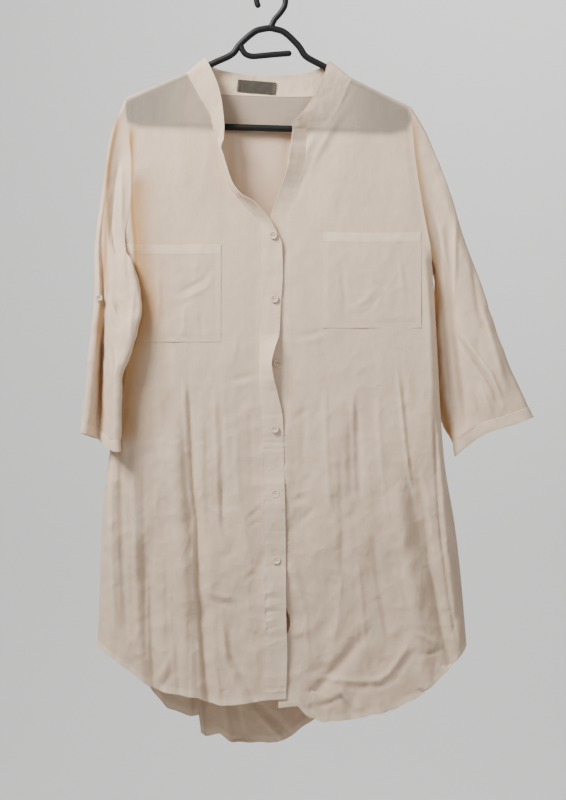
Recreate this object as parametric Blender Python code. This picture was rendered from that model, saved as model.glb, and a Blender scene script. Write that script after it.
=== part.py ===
"""A long shirt with a band collar, hung flat on a tubular plastic hanger.

The shirt faces -Y and hangs along -Z from the inner top of the hanger's hook, which is
the origin. Left and right in the names are the wearer's, so the right side is at -X.
The tables are in millimetres, and each one names its columns above its rows.
"""

import math
from bisect import bisect_right
from collections import namedtuple

import bmesh
import bpy
from mathutils import Vector

MM = 0.001

# Cloth
WALL = 1.4
SEAM_GAP = 0.3
HALF_GAP = SEAM_GAP / 2
PATCH_GAP = 0.4
PATCH_WALL = 1.2
CUFF_WALL = 1.9
CUFF_GAP = 0.6
LABEL_WALL = 1.0
LABEL_GAP = 0.6
SHOULDER_CLEARANCE = 0.7

# Hanger
TUBE_RADIUS = 4.5
TUBE_SIDES = 10
STRAP_HOOK_RADIUS = 4.1
HANGER_TILT = math.radians(1.7)
HOOK_RADIUS = 4.0
HOOK_INNER_RADIUS = 16.0
HOOK_SWEEP = math.radians(205)
HOOK_STEPS = 12

# How far the cloth's outer face lies from the centre line of the hanger's arm, and how far
# down a panel that roundness reaches
SHOULDER_ROUND = TUBE_RADIUS + SHOULDER_CLEARANCE + WALL
SHOULDER_REACH = SHOULDER_ROUND * 1.09

# Where a rounded edge is sampled, as a part of its radius: 0, 30, 60 and 90 degrees round
ROUND_STEPS = tuple(1 - math.cos(math.radians(angle)) for angle in (0, 30, 60, 90))

BUTTON_RADIUS = 5.4
BUTTON_THICKNESS = 2.2
BUTTON_GAP = 0.5
BUTTON_FOOT = 0.8 * BUTTON_RADIUS
SLEEVE_BUTTON_RADIUS = 4.5
BUTTON_SIDES = 20

# A button's section: how far inside its radius, and how high above its back
BUTTON_SECTION = (
    (0.5, 0.0),
    (0.0, 0.5),
    (0.0, BUTTON_THICKNESS - 0.5),
    (0.6, BUTTON_THICKNESS),
    (1.5, BUTTON_THICKNESS - 0.1),
    (2.1, BUTTON_THICKNESS - 0.7),
)

CLOTH_COLOUR = (0.72, 0.63, 0.52)
PLACKET_COLOUR = (0.75, 0.66, 0.55)
LABEL_COLOUR = (0.17, 0.14, 0.11)
BUTTON_COLOUR = (0.78, 0.71, 0.60)
HANGER_COLOUR = (0.012, 0.012, 0.013)

# The hanger's left half before its tilt: x, z, and the points put in before the next row
HANGER_HALF = (
    (0.0, -56.0, 2),
    (18.0, -60.0, 2),
    (33.0, -72.0, 2),
    (42.4, -82.0, 2),
    (49.0, -91.8, 2),
    (60.0, -98.8, 1),
    (79.0, -108.0, 1),
    (113.5, -127.8, 1),
    (181.0, -158.5, 2),
    (189.0, -164.0, 2),
    (193.6, -172.0, 2),
    (193.2, -181.0, 2),
    (188.0, -188.4, 2),
    (178.0, -192.8, 2),
    (164.0, -193.5, 1),
)
ARM_INNER = (113.5, -127.8)
ARM_OUTER = (181.0, -158.5)

# The hook's stem, from the end of its arc to the hanger's top: x, z
HOOK_STEM = (
    (18.5, -26.0),
    (12.0, -36.0),
    (5.0, -44.0),
    (1.0, -52.0),
)

# The strap hook below the hanger's right arm: x, z
STRAP_HOOK = (
    (-39.5, -80.0),
    (-37.5, -86.0),
    (-32.5, -92.5),
    (-23.5, -95.5),
    (-10.0, -94.2),
    (8.0, -92.0),
    (27.0, -90.0),
)

# Points of the neck and shoulder: x
SHOULDER_TIP_RIGHT = -200.0
NECK_POINT_RIGHT = -116.5
NECK_POINT_LEFT = 111.0
SHOULDER_TIP_LEFT = 193.2

# Heights of the underarms
UNDERARM_RIGHT = -371.0
UNDERARM_LEFT = -378.0
UNDERARM_ROUND = 30.0

# The body's side edges: z, x. The armhole is the stretch above the underarm.
RIGHT_SIDE = (
    (-153, -199.5),
    (-180, -198.5),
    (-215, -194),
    (-260, -190.5),
    (-315, -194),
    (-371, -206),
    (-430, -206),
    (-500, -210),
    (-580, -216),
    (-643, -222),
    (-684, -228),
    (-727, -231.5),
    (-788, -234),
    (-847, -236),
    (-903, -238.5),
)
LEFT_SIDE = (
    (-166, 193),
    (-190, 194),
    (-232, 197.5),
    (-279, 204),
    (-327, 212),
    (-378, 221),
    (-485, 227.5),
    (-588, 233),
    (-668, 240),
    (-722, 250),
    (-803, 260),
    (-903, 268.5),
)

# The hems: x, z
RIGHT_FRONT_HEM = (
    (-238.5, -903),
    (-220, -915),
    (-200, -930),
    (-182, -945),
    (-160, -960),
    (-119, -968.5),
    (-96, -972),
    (-72, -982),
    (-37, -979.5),
    (-8, -975),
)
LEFT_FRONT_HEM = (
    (36, -981),
    (50, -996),
    (67, -1003.5),
    (98, -1002.5),
    (137, -995.5),
    (177, -983),
    (203, -968),
    (226, -948),
    (253, -921),
    (268.5, -903),
)
BACK_HEM = (
    (-238.5, -903),
    (-220, -909),
    (-200, -922),
    (-182, -940),
    (-162, -962),
    (-141, -986),
    (-118, -999),
    (-97, -1014),
    (-72, -1023),
    (-50, -1033),
    (8, -1036),
    (30, -1026),
    (45, -1011),
    (67, -1000),
    (98, -995),
    (137, -988),
    (177, -975),
    (203, -959),
    (226, -939),
    (253, -914),
    (268.5, -903),
)

# The neck seam from each neck point: x, z
RIGHT_NECK = (
    (-100.0, -148.0),
    (-90.5, -164.0),
    (-83.6, -176.7),
    (-79.4, -192.5),
    (-74.0, -208.0),
)
LEFT_NECK = (
    (104.0, -138.0),
    (93.0, -164.0),
    (76.7, -183.0),
    (62.0, -190.0),
    (49.0, -194.5),
)
BACK_NECK = (
    (-104.0, -134.0),
    (-88.0, -142.5),
    (-60.0, -146.5),
    (-30.0, -148.0),
    (0.0, -149.0),
    (30.0, -149.5),
    (58.0, -149.0),
    (82.0, -146.0),
    (99.0, -138.5),
)

# The buttonhole placket. seam_z and seam_x are where it joins the right front, edge_x and
# edge_z its free edge, and lean how far that edge stands forward of the seam.
TopPlacket = namedtuple("TopPlacket", "seam_z seam_x edge_x edge_z lean")
TOP_PLACKET = (
    TopPlacket(-208, -74.0, -68.5, -224, 19),
    TopPlacket(-236, -68.5, -62.0, -245, 21),
    TopPlacket(-262, -61.0, -55.0, -268, 22),
    TopPlacket(-284, -52.0, -42.0, -287, 20),
    TopPlacket(-298, -40.0, -22.0, -299, 15),
    TopPlacket(-313, -24.7, -6.0, -315, 9),
    TopPlacket(-333, -12.5, 6.0, -334, 4),
    TopPlacket(-356, -12.5, 15.0, -356, 1.5),
    TopPlacket(-392, -12.0, 16.0, -392, 1),
    TopPlacket(-444, -14.5, 13.0, -444, 1),
    TopPlacket(-475, -15.0, 11.5, -475, 3),
    TopPlacket(-497, -15.5, 5.0, -497, 11),
    TopPlacket(-516, -16.0, 1.0, -516, 14),
    TopPlacket(-536, -16.0, 3.5, -536, 11),
    TopPlacket(-560, -15.0, 9.5, -560, 4),
    TopPlacket(-595, -12.0, 16.2, -595, 1),
    TopPlacket(-684, -9.6, 18.4, -684, 0.5),
    TopPlacket(-773, -8.0, 20.0, -773, 0.5),
    TopPlacket(-847, -8.0, 20.3, -847, 2),
    TopPlacket(-906, -6.0, 22.0, -906, 2.5),
    TopPlacket(-975, -8.0, 20.3, -973, 0.5),
)

# The button placket, under it: seam_z, seam_x, edge_x, edge_z, lean
UnderPlacket = namedtuple("UnderPlacket", "seam_z seam_x edge_x edge_z lean")
UNDER_PLACKET = (
    UnderPlacket(-194.5, 49.0, 30.0, -197, 9),
    UnderPlacket(-245, 46.0, 24.0, -243, 8),
    UnderPlacket(-280, 36.0, 12.0, -280, 5),
    UnderPlacket(-318, 24.0, -1.0, -318, 0.5),
    UnderPlacket(-356, 22.0, -6.0, -356, 0),
    UnderPlacket(-600, 22.0, -6.0, -600, 0),
    UnderPlacket(-760, 24.0, -4.0, -760, 0),
    UnderPlacket(-820, 34.0, 8.0, -820, 0),
    UnderPlacket(-870, 47.0, 26.0, -870, 0),
    UnderPlacket(-906, 42.0, 15.0, -906, 0),
    UnderPlacket(-981, 36.0, 10.0, -984, 0),
)

# How far the body stands out from the hanger's plane, past the shoulder's roundness: z, y
FRONT_FULLNESS = ((-200, 3), (-300, 8), (-371, 11), (-500, 14), (-700, 18), (-980, 24))
BACK_FULLNESS = ((-200, 2), (-371, 6), (-600, 9), (-1036, 14))
FULLNESS_REACH = 120.0

# The radius that a side seam is rounded with: z, radius
SIDE_ROUND = ((-500, 14), (-903, 26))
ARMHOLE_ROUND = SIDE_ROUND[0][1]

# The left front lies this much deeper at its edge, so that the placket passes over it
LAP_DEPTH = 2.3
LAP_REACH = 60.0

# The folds of each face. The line runs from x_top, z_top to x_end, z_end, rise is how far
# it stands out (a trough is negative), and width is where it has fallen to a third.
Fold = namedtuple("Fold", "x_top z_top x_end z_end rise width")
RIGHT_FRONT_FOLDS = (
    Fold(-116, -560, -84, -1000, -7.0, 10.0),
    Fold(-134, -590, -106, -1000, 4.5, 12.0),
    Fold(-172, -740, -156, -980, -6.0, 10.0),
    Fold(-70, -640, -64, -760, -3.5, 9.0),
    Fold(-141, -790, -139, -880, -3.0, 8.0),
)
LEFT_FRONT_FOLDS = (
    Fold(185, -650, 246, -930, -8.0, 12.0),
    Fold(165, -650, 214, -960, 5.0, 13.0),
    Fold(112, -560, 116, -720, -4.0, 10.0),
    Fold(150, -860, 60, -965, -5.0, 11.0),
    Fold(106, -150, 12, -312, 5.0, 9.0),
    Fold(68, -206, 16, -302, -5.0, 12.0),
)
BACK_FOLDS = (
    Fold(-95, -300, -110, -1020, -6.0, 14.0),
    Fold(60, -280, 84, -1000, -6.0, 14.0),
    Fold(-20, -420, -40, -1040, 5.0, 16.0),
    Fold(150, -520, 190, -970, -6.0, 13.0),
    Fold(-175, -560, -200, -930, -5.0, 12.0),
)
FOLD_FADE = 70.0

# Folds that end below this height run off the hem instead of fading
OPEN_HEM = -900.0

# The heights that the hem's x is judged at: by the side seams, and across a panel
SIDE_HEM = -903.0
PANEL_HEM = -960.0

# The steps across a panel's shoulder
SHOULDER_STEPS = (0.0, 0.3, 0.65, 1.0)

# The steps down a panel: over the shoulder, down the armhole, then to the hem
ARMHOLE_STEPS = (0.10, 0.24, 0.40, 0.56, 0.72, 0.859, 0.930, 0.981, 1.0)
BODY_STEPS = (0.045, 0.11, 0.19, 0.27, 0.35, 0.43, 0.52, 0.61, 0.70, 0.79, 0.87, 0.94, 1.0)
UNDERARM_ROW = len(ROUND_STEPS) + len(ARMHOLE_STEPS) - 1
LAST_ARMHOLE_ROW = UNDERARM_ROW - 3

# The sleeves below the armhole: a ring's cloth lies flat along the line through its four
# points, outer edge to inner edge. half is how far it stands on each side of that line,
# and pinch how far at the crease.
Ring = namedtuple("Ring", "outer crease front inner half pinch")
RIGHT_SLEEVE = (
    Ring((-221, -4, -207), (-210, -1, -250), (-220, -11, -347), (-208, -14, -376), 5.5, 4.5),
    Ring((-230, -8, -276), (-225, -10, -310), (-222, -17, -369), (-203, -25, -401), 7.5, 7.5),
    Ring((-239, -19, -351), (-230, -17, -375), (-210, -29, -441), (-185, -35, -443), 5.5, 2.7),
    Ring((-239, -30, -426), (-226, -24, -444), (-204, -37, -477), (-173, -41, -505), 7.5, 2.2),
    Ring((-243.7, -34, -490), (-231, -10, -508), (-211, -36, -532), (-200, -54, -545), 6.0, 2.0),
    Ring((-249, -36, -550), (-234, -10, -562), (-214, -35, -582), (-205, -53, -592), 6.0, 2.0),
    Ring((-254.6, -36, -597), (-236, -11, -606), (-217, -33, -616), (-206, -51, -621), 6.0, 2.5),
)
RIGHT_CUFF_END = Ring(
    (-256.5, -36, -612), (-236, -11, -621), (-217, -33, -632), (-205.5, -51, -637), 6.0, 3.0
)
LEFT_SLEEVE = (
    Ring((219.4, 0, -215), (222, -3, -275), (231, 0, -358), (223.5, 5, -391), 8.0, 7.0),
    Ring((241.9, 0, -275), (240, -5, -330), (241, 3, -400), (226, 17, -427), 8.5, 7.0),
    Ring((260.7, 0, -340), (256, -8, -385), (247, 7, -444), (223, 25, -466), 8.5, 7.0),
    Ring((285.7, 0, -405), (274, -9, -442), (255, 5, -490), (226, 25, -515), 9.0, 7.0),
    Ring((305.4, 0, -465), (290, -9, -492), (264, 4, -532), (230, 24, -562), 9.5, 7.0),
    Ring((328.9, 0, -525), (309, -8, -546), (274, 4, -580), (239, 17, -603), 10.0, 7.5),
    Ring((353.0, 0, -577), (330, -6, -584), (290, 2, -598), (251, 5, -628), 10.5, 8.0),
)
LEFT_CUFF_END = Ring((359, 0, -591), (338, -6, -599), (292, 2, -615), (253, 4, -645), 10.5, 8.0)
SPINE_SAMPLES = 48
CREASE_REACH = 24.0

# The collar's free edge. place counts along its seam: 0 and 6 are the two ends, 1 and 5 the
# plackets' seams, 2 and 4 the neck points and 3 the middle of the back.
CollarEdge = namedtuple("CollarEdge", "place x y z bow")
COLLAR_EDGE = (
    CollarEdge(0.0, -66.0, -31.0, -213.0, 0.0),
    CollarEdge(1.0, -64.0, -25.0, -194.0, 1.5),
    CollarEdge(1.35, -66.0, -21.0, -168.0, 3.0),
    CollarEdge(1.7, -73.5, -16.5, -132.0, 2.5),
    CollarEdge(1.9, -84.0, -12.0, -109.0, 1.0),
    CollarEdge(1.96, -88.5, -7.5, -101.0, 0.5),
    CollarEdge(2.0, -90.4, 0.0, -97.0, 0.0),
    CollarEdge(2.04, -88.5, 7.0, -99.5, 0.5),
    CollarEdge(2.12, -84.0, 10.5, -104.0, 1.0),
    CollarEdge(2.3, -72.0, 11.5, -111.0, 1.5),
    CollarEdge(2.65, -38.0, 12.0, -117.0, 1.5),
    CollarEdge(3.0, 0.0, 12.5, -119.0, 1.5),
    CollarEdge(3.35, 36.0, 12.0, -117.5, 1.5),
    CollarEdge(3.7, 62.0, 11.5, -111.5, 1.5),
    CollarEdge(3.88, 73.5, 10.5, -105.5, 1.0),
    CollarEdge(3.96, 78.0, 7.0, -101.5, 0.5),
    CollarEdge(4.0, 79.8, 0.0, -100.5, 0.0),
    CollarEdge(4.04, 78.0, -7.0, -105.0, 0.5),
    CollarEdge(4.12, 74.0, -12.0, -118.0, 1.0),
    CollarEdge(4.35, 63.0, -14.0, -143.0, 1.5),
    CollarEdge(4.7, 49.0, -14.5, -165.5, 1.5),
    CollarEdge(5.0, 39.0, -15.0, -178.5, 1.0),
    CollarEdge(6.0, 28.5, -17.0, -189.0, 0.0),
)
COLLAR_ACROSS = (0.0, 0.35, 0.7, 1.0)
COLLAR_CENTRE = (0.0, 0.0, -175.0)

# The collar is this many times as wide as it is deep, so its bow points this much sideways
COLLAR_FLATNESS = 6.0

# The patch pockets: x of both sides, z of top and bottom
Patch = namedtuple("Patch", "x_start x_end z_top z_bottom")
RIGHT_POCKET = Patch(-199.0, -68.5, -354.0, -487.5)
LEFT_POCKET = Patch(71.2, 204.5, -337.5, -468.5)
POCKET_STEPS = (0.0, 0.03, 0.065, 0.12, 0.3, 0.5, 0.7, 0.88, 0.935, 0.97, 1.0)
POCKET_ROWS = (0.0, 0.2, 0.4, 0.6, 0.8, 1.0)

NECK_LABEL = Patch(-46.5, 6.5, -127.0, -144.5)
LABEL_TILT = math.radians(4.5)
LABEL_COLUMNS = 7
LABEL_ROWS = 3

# The front buttons: x, z. The third is undone, so it lies on the placket below.
FRONT_BUTTONS = (
    (3.6, -342.0),
    (5.0, -429.0),
    (8.5, -516.5),
    (5.5, -606.5),
    (6.0, -694.6),
    (7.5, -785.0),
)
UNDONE_BUTTON = 2


def curve_through(rows):
    """Return a function through (key, value) rows that never overshoots them."""
    rows = sorted(rows)
    keys = [row[0] for row in rows]
    values = [row[1] for row in rows]
    steps = [(values[i + 1] - values[i]) / (keys[i + 1] - keys[i]) for i in range(len(rows) - 1)]
    slopes = [steps[0]]
    for before, after in zip(steps, steps[1:]):
        slopes.append(2 * before * after / (before + after) if before * after > 0 else 0.0)
    slopes.append(steps[-1])

    def value(key):
        if key <= keys[0]:
            return values[0]
        if key >= keys[-1]:
            return values[-1]
        i = bisect_right(keys, key) - 1
        span = keys[i + 1] - keys[i]
        t = (key - keys[i]) / span
        start = (1 + 2 * t) * (1 - t) ** 2 * values[i] + t * (1 - t) ** 2 * span * slopes[i]
        end = t * t * (3 - 2 * t) * values[i + 1] + t * t * (t - 1) * span * slopes[i + 1]
        return start + end

    return value


def path_through(points, counts):
    """Return points along a smooth path through points, counts[i] steps after the i-th."""
    path = []
    for i, count in enumerate(counts):
        here, after = points[i], points[i + 1]
        before = points[i - 1] if i > 0 else here * 2 - after
        beyond = points[i + 2] if i + 2 < len(points) else after * 2 - here
        for step in range(count):
            t = step / count
            path.append(0.5 * (2 * here + (after - before) * t
                               + (2 * before - 5 * here + 4 * after - beyond) * t * t
                               + (3 * here - before - 3 * after + beyond) * t ** 3))
    path.append(points[len(counts)])
    return path


def lerp(start, end, t):
    """Return the value t of the way from start to end."""
    return start + (end - start) * t


def smooth_step(t):
    """Return 0 to 1, with no slope at either end."""
    t = min(max(t, 0.0), 1.0)
    return t * t * (3 - 2 * t)


def round_off(distance, radius):
    """Return 0 at a rounded edge and 1 from radius inwards, along a quarter circle."""
    t = 1 - min(max(distance / radius, 0.0), 1.0)
    return math.sqrt(1 - t * t)


def tilted(x, z):
    """Return the place of a hanger point once the hanger hangs askew."""
    cosine, sine = math.cos(HANGER_TILT), math.sin(HANGER_TILT)
    return Vector((x * cosine + z * sine, 0, z * cosine - x * sine))


def shoulder_line(mirror):
    """Return the slope and a point of the cloth's ridge over one arm, mirror -1 or 1."""
    inner = tilted(mirror * ARM_INNER[0], ARM_INNER[1])
    outer = tilted(mirror * ARM_OUTER[0], ARM_OUTER[1])
    along = (outer - inner).normalized()
    upward = Vector((-along.z, 0, along.x))
    if upward.z < 0:
        upward = -upward
    return along.z / along.x, inner + upward * SHOULDER_ROUND


RIGHT_SLOPE, RIGHT_RIDGE = shoulder_line(-1)
LEFT_SLOPE, LEFT_RIDGE = shoulder_line(1)


def ridge(x):
    """Return the height of the shoulders' ridge, carried straight up over the neck."""
    right = RIGHT_RIDGE.z + (x - RIGHT_RIDGE.x) * RIGHT_SLOPE
    left = LEFT_RIDGE.z + (x - LEFT_RIDGE.x) * LEFT_SLOPE
    return min(right, left)


side_of_right = curve_through(RIGHT_SIDE)
side_of_left = curve_through(LEFT_SIDE)
side_round = curve_through(SIDE_ROUND)
fullness = {-1: curve_through(FRONT_FULLNESS), 1: curve_through(BACK_FULLNESS)}


def underarm_opening(z, underarm):
    """Return 1 where the armhole is open, falling to 0 at the underarm and below."""
    return round_off(z - underarm, UNDERARM_ROUND)


def fold_height(folds, x, z):
    """Return how far the folds lift the face at x, z."""
    total = 0.0
    for fold in folds:
        if not fold.z_end < z < fold.z_top:
            continue
        t = (fold.z_top - z) / (fold.z_top - fold.z_end)
        middle = lerp(fold.x_top, fold.x_end, t)
        fade = smooth_step((fold.z_top - z) / FOLD_FADE)
        if fold.z_end > OPEN_HEM:
            fade *= smooth_step((z - fold.z_end) / FOLD_FADE)
        total += fold.rise * fade * math.exp(-((x - middle) / fold.width) ** 2)
    return total


def body_depth(x, z, face, folds=()):
    """Return how far the body's outer face is from the hanger's plane; face is -1 or 1."""
    slope = RIGHT_SLOPE if x < 0 else LEFT_SLOPE
    below = max(ridge(x) - z, 0.0) / math.hypot(1, slope)
    depth = SHOULDER_ROUND * round_off(below, SHOULDER_ROUND)
    depth += fullness[face](z) * smooth_step(below / FULLNESS_REACH)
    depth += fold_height(folds, x, z)
    if x < 0:
        inwards, opening = x - side_of_right(z), underarm_opening(z, UNDERARM_RIGHT)
    else:
        inwards, opening = side_of_left(z) - x, underarm_opening(z, UNDERARM_LEFT)
    return depth * (opening + (1 - opening) * round_off(inwards, side_round(z)))


def right_front(x, z):
    """Return y of the right front's outer face."""
    return -body_depth(x, z, -1, RIGHT_FRONT_FOLDS)


seam_of_top = curve_through([(row.seam_z, row.seam_x) for row in TOP_PLACKET])
seam_of_under = curve_through([(row.seam_z, row.seam_x) for row in UNDER_PLACKET])


def left_front(x, z):
    """Return y of the left front's outer face, which passes under the right one."""
    lap = 1 - smooth_step((x - seam_of_under(z)) / LAP_REACH)
    return -body_depth(x, z, -1, LEFT_FRONT_FOLDS) + LAP_DEPTH * lap


def back_face(x, z):
    """Return y of the back's outer face."""
    return body_depth(x, z, 1, BACK_FOLDS)


def column_heights(top, underarm, hem):
    """Return the heights of a column's points, from its top to the hem."""
    heights = [top - SHOULDER_REACH * step for step in ROUND_STEPS]
    shoulder = heights[-1]
    heights += [lerp(shoulder, underarm, step) for step in ARMHOLE_STEPS]
    heights += [lerp(underarm, hem, step) for step in BODY_STEPS]
    return heights


def rounded_neck(neck_point, neck):
    """Return neck seam points with the first stretch divided, as it turns over the arm."""
    first = (neck_point, ridge(neck_point))
    drop = first[1] - neck[0][1]
    parts = [SHOULDER_REACH * step / drop for step in ROUND_STEPS[1:]]
    return [(lerp(first[0], neck[0][0], t), lerp(first[1], neck[0][1], t)) for t in parts] + neck


def ease(z, top, underarm):
    """Return how far a column has moved from its start towards even spacing."""
    return smooth_step((top - z) / (top - underarm))


def front_columns(mirror, neck, edge, hem, face, underarm):
    """Return a front's columns of outer points, from the side seam to its placket."""
    side = side_of_right if mirror < 0 else side_of_left
    tip = SHOULDER_TIP_RIGHT if mirror < 0 else SHOULDER_TIP_LEFT
    neck_point = NECK_POINT_RIGHT if mirror < 0 else NECK_POINT_LEFT

    def inner_side(z):
        return side(z) - mirror * side_round(z)

    tops = [lerp(tip - mirror * ARMHOLE_ROUND, neck_point, t) for t in SHOULDER_STEPS]
    tops = [(x, ridge(x)) for x in tops] + rounded_neck(neck_point, neck)
    starts = [(x - inner_side(z)) / (edge(z) - inner_side(z)) for x, z in tops]
    columns = []
    for step in ROUND_STEPS[:-1]:
        x = tip - mirror * ARMHOLE_ROUND * step
        low = hem(side(SIDE_HEM) - mirror * side_round(SIDE_HEM) * step)
        heights = column_heights(ridge(x), underarm, low)
        columns.append([(side(z) - mirror * side_round(z) * step, z) for z in heights])
    for number, (start, (x, top)) in enumerate(zip(starts, tops)):
        even = number / (len(tops) - 1)
        low = hem(lerp(inner_side(PANEL_HEM), edge(PANEL_HEM), even))
        column = []
        for z in column_heights(top, underarm, low):
            part = lerp(start, even, ease(z, top, underarm))
            column.append((lerp(inner_side(z), edge(z), part), z))
        column[0] = (x, top)
        columns.append(column)
    return [[Vector((x, face(x, z), z)) for x, z in column] for column in columns]


def back_columns(neck):
    """Return the back's columns of outer points, from the right side to the left."""
    def inner_right(z):
        return side_of_right(z) + side_round(z)

    def inner_left(z):
        return side_of_left(z) - side_round(z)

    right_tip = SHOULDER_TIP_RIGHT + ARMHOLE_ROUND
    left_tip = SHOULDER_TIP_LEFT - ARMHOLE_ROUND
    tops = [lerp(right_tip, NECK_POINT_RIGHT, t) for t in SHOULDER_STEPS]
    tops = [(x, ridge(x)) for x in tops] + rounded_neck(NECK_POINT_RIGHT, neck)
    tops[-1:] = rounded_neck(NECK_POINT_LEFT, neck[-1:])[::-1]
    others = [lerp(left_tip, NECK_POINT_LEFT, t) for t in SHOULDER_STEPS[::-1]]
    tops += [(x, ridge(x)) for x in others]
    hem = curve_through(BACK_HEM)
    columns = []
    for number, (x, top) in enumerate(tops):
        start = (x - inner_right(top)) / (inner_left(top) - inner_right(top))
        even = number / (len(tops) - 1)
        underarm = lerp(UNDERARM_RIGHT, UNDERARM_LEFT, even)
        low = hem(lerp(inner_right(PANEL_HEM), inner_left(PANEL_HEM), even))
        column = []
        for z in column_heights(top, underarm, low):
            part = lerp(start, even, ease(z, top, underarm))
            column.append((lerp(inner_right(z), inner_left(z), part), z))
        column[0] = (x, top)
        columns.append(column)
    for mirror, side, tip, underarm in (
        (-1, side_of_right, SHOULDER_TIP_RIGHT, UNDERARM_RIGHT),
        (1, side_of_left, SHOULDER_TIP_LEFT, UNDERARM_LEFT),
    ):
        edges = []
        for step in ROUND_STEPS[:-1]:
            x = tip - mirror * ARMHOLE_ROUND * step
            low = hem(side(SIDE_HEM) - mirror * side_round(SIDE_HEM) * step)
            heights = column_heights(ridge(x), underarm, low)
            edges.append([(side(z) - mirror * side_round(z) * step, z) for z in heights])
        columns = edges + columns if mirror < 0 else columns + edges[::-1]
    return [[Vector((x, back_face(x, z), z)) for x, z in column] for column in columns]


def grid_normals(grid, outward, closed):
    """Return the unit normals of a grid of points; closed joins the last row to the first."""
    rows, columns = len(grid), len(grid[0])
    normals = []
    for i in range(rows):
        line = []
        for j in range(columns):
            before = grid[(i - 1) % rows][j] if closed else grid[max(i - 1, 0)][j]
            after = grid[(i + 1) % rows][j] if closed else grid[min(i + 1, rows - 1)][j]
            down = grid[i][min(j + 1, columns - 1)] - grid[i][max(j - 1, 0)]
            line.append((after - before).cross(down).normalized())
        normals.append(line)
    score = sum(
        normal.dot(outward(point))
        for line, points in zip(normals, grid) for normal, point in zip(line, points)
    )
    if score < 0:
        normals = [[-normal for normal in line] for line in normals]
    return normals


def flatten(normal, axis):
    """Return the normal turned square to an axis, so that a seam's faces stay parallel."""
    flat = normal.copy()
    flat[axis] = 0.0
    return flat.normalized()


def cloth_wall(name, outer, inner, closed, material):
    """Make a closed wall between two grids of points and return its object."""
    rows, columns = len(outer), len(outer[0])
    mesh_data = bmesh.new()
    sides = [
        [[mesh_data.verts.new(point * MM) for point in line] for line in grid]
        for grid in (outer, inner)
    ]
    last = rows if closed else rows - 1
    for grid in sides:
        for i in range(last):
            for j in range(columns - 1):
                near, far = grid[i], grid[(i + 1) % rows]
                mesh_data.faces.new((near[j], near[j + 1], far[j + 1], far[j]))
    for j in (0, columns - 1):
        for i in range(last):
            after = (i + 1) % rows
            mesh_data.faces.new((sides[0][i][j], sides[0][after][j], sides[1][after][j], sides[1][i][j]))
    if not closed:
        for i in (0, rows - 1):
            for j in range(columns - 1):
                mesh_data.faces.new((sides[0][i][j], sides[0][i][j + 1], sides[1][i][j + 1], sides[1][i][j]))
    return finish_mesh(name, mesh_data, material)


def finish_mesh(name, mesh_data, material):
    """Turn a bmesh with its faces pointing out into an object in the scene."""
    bmesh.ops.recalc_face_normals(mesh_data, faces=mesh_data.faces)
    mesh = bpy.data.meshes.new(name)
    mesh_data.to_mesh(mesh)
    mesh_data.free()
    mesh.shade_smooth()
    mesh.set_sharp_from_angle(angle=math.radians(40))
    mesh.materials.append(material)
    built = bpy.data.objects.new(name, mesh)
    bpy.context.scene.collection.objects.link(built)
    return built


def principled(name, colour, roughness):
    """Return a plain material."""
    material = bpy.data.materials.new(name)
    material.use_nodes = True
    shader = material.node_tree.nodes["Principled BSDF"]
    shader.inputs["Base Color"].default_value = (*colour, 1.0)
    shader.inputs["Roughness"].default_value = roughness
    shader.inputs["Metallic"].default_value = 0.0
    return material


def panel(name, columns, face, material, seam_columns):
    """Make a body panel from its columns; face is -1 for a front and 1 for the back.

    seam_columns says which end columns are side seams: their lower stretch and every
    column's shoulder point lie a half gap off the hanger's plane.
    """
    normals = grid_normals(columns, lambda point: Vector((0, face, 0)), False)
    for i, column in enumerate(columns):
        on_ridge = abs(column[0].y) < 0.01
        if on_ridge:
            column[0].y = face * HALF_GAP
            normals[i][0] = flatten(normals[i][0], 1)
    for i in seam_columns:
        for j in range(1, len(columns[i])):
            if j <= LAST_ARMHOLE_ROW:
                normals[i][j] = flatten(normals[i][j], 0)
            elif j >= UNDERARM_ROW:
                columns[i][j].y = face * HALF_GAP
                normals[i][j] = flatten(normals[i][j], 1)
    inner = [
        [point - normal * WALL for point, normal in zip(column, line)]
        for column, line in zip(columns, normals)
    ]
    return cloth_wall(name, columns, inner, False, material)


def spine(ring):
    """Return a finely stepped path along the line that a flat sleeve is folded on."""
    points = [Vector(point) for point in (ring.outer, ring.crease, ring.front, ring.inner)]
    return path_through(points, [SPINE_SAMPLES // 3] * 3)


def along_path(path, distances):
    """Return the points and directions at the given distances along a path."""
    found = []
    travelled, i = 0.0, 0
    for distance in distances:
        while i < len(path) - 2 and travelled + (path[i + 1] - path[i]).length < distance:
            travelled += (path[i + 1] - path[i]).length
            i += 1
        step = path[i + 1] - path[i]
        found.append((path[i] + step * ((distance - travelled) / step.length), step.normalized()))
    return found


def path_length(path):
    """Return a path's length."""
    return sum((after - before).length for before, after in zip(path, path[1:]))


def spine_stations(ring):
    """Return points along a ring's line, close together at its ends, and half its height."""
    path = spine(ring)
    length = path_length(path)
    crease = path_length(path[:SPINE_SAMPLES // 3 + 1])
    near = [ring.half * step for step in ROUND_STEPS]
    far = [length - distance for distance in near[::-1]]
    middle = [lerp(near[-1], crease, 0.5), crease]
    rest = UNDERARM_ROW + 1 - 2 * len(ROUND_STEPS) - len(middle)
    middle += [lerp(crease, far[0], (k + 1) / (rest + 1)) for k in range(rest)]
    distances = near + middle + far
    halves = []
    for distance in distances:
        open_part = smooth_step(abs(distance - crease) / CREASE_REACH)
        half = lerp(ring.pinch, ring.half, open_part)
        halves.append(half * round_off(min(distance, length - distance), ring.half))
    return [point for point, _ in along_path(path, distances)], halves


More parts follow.
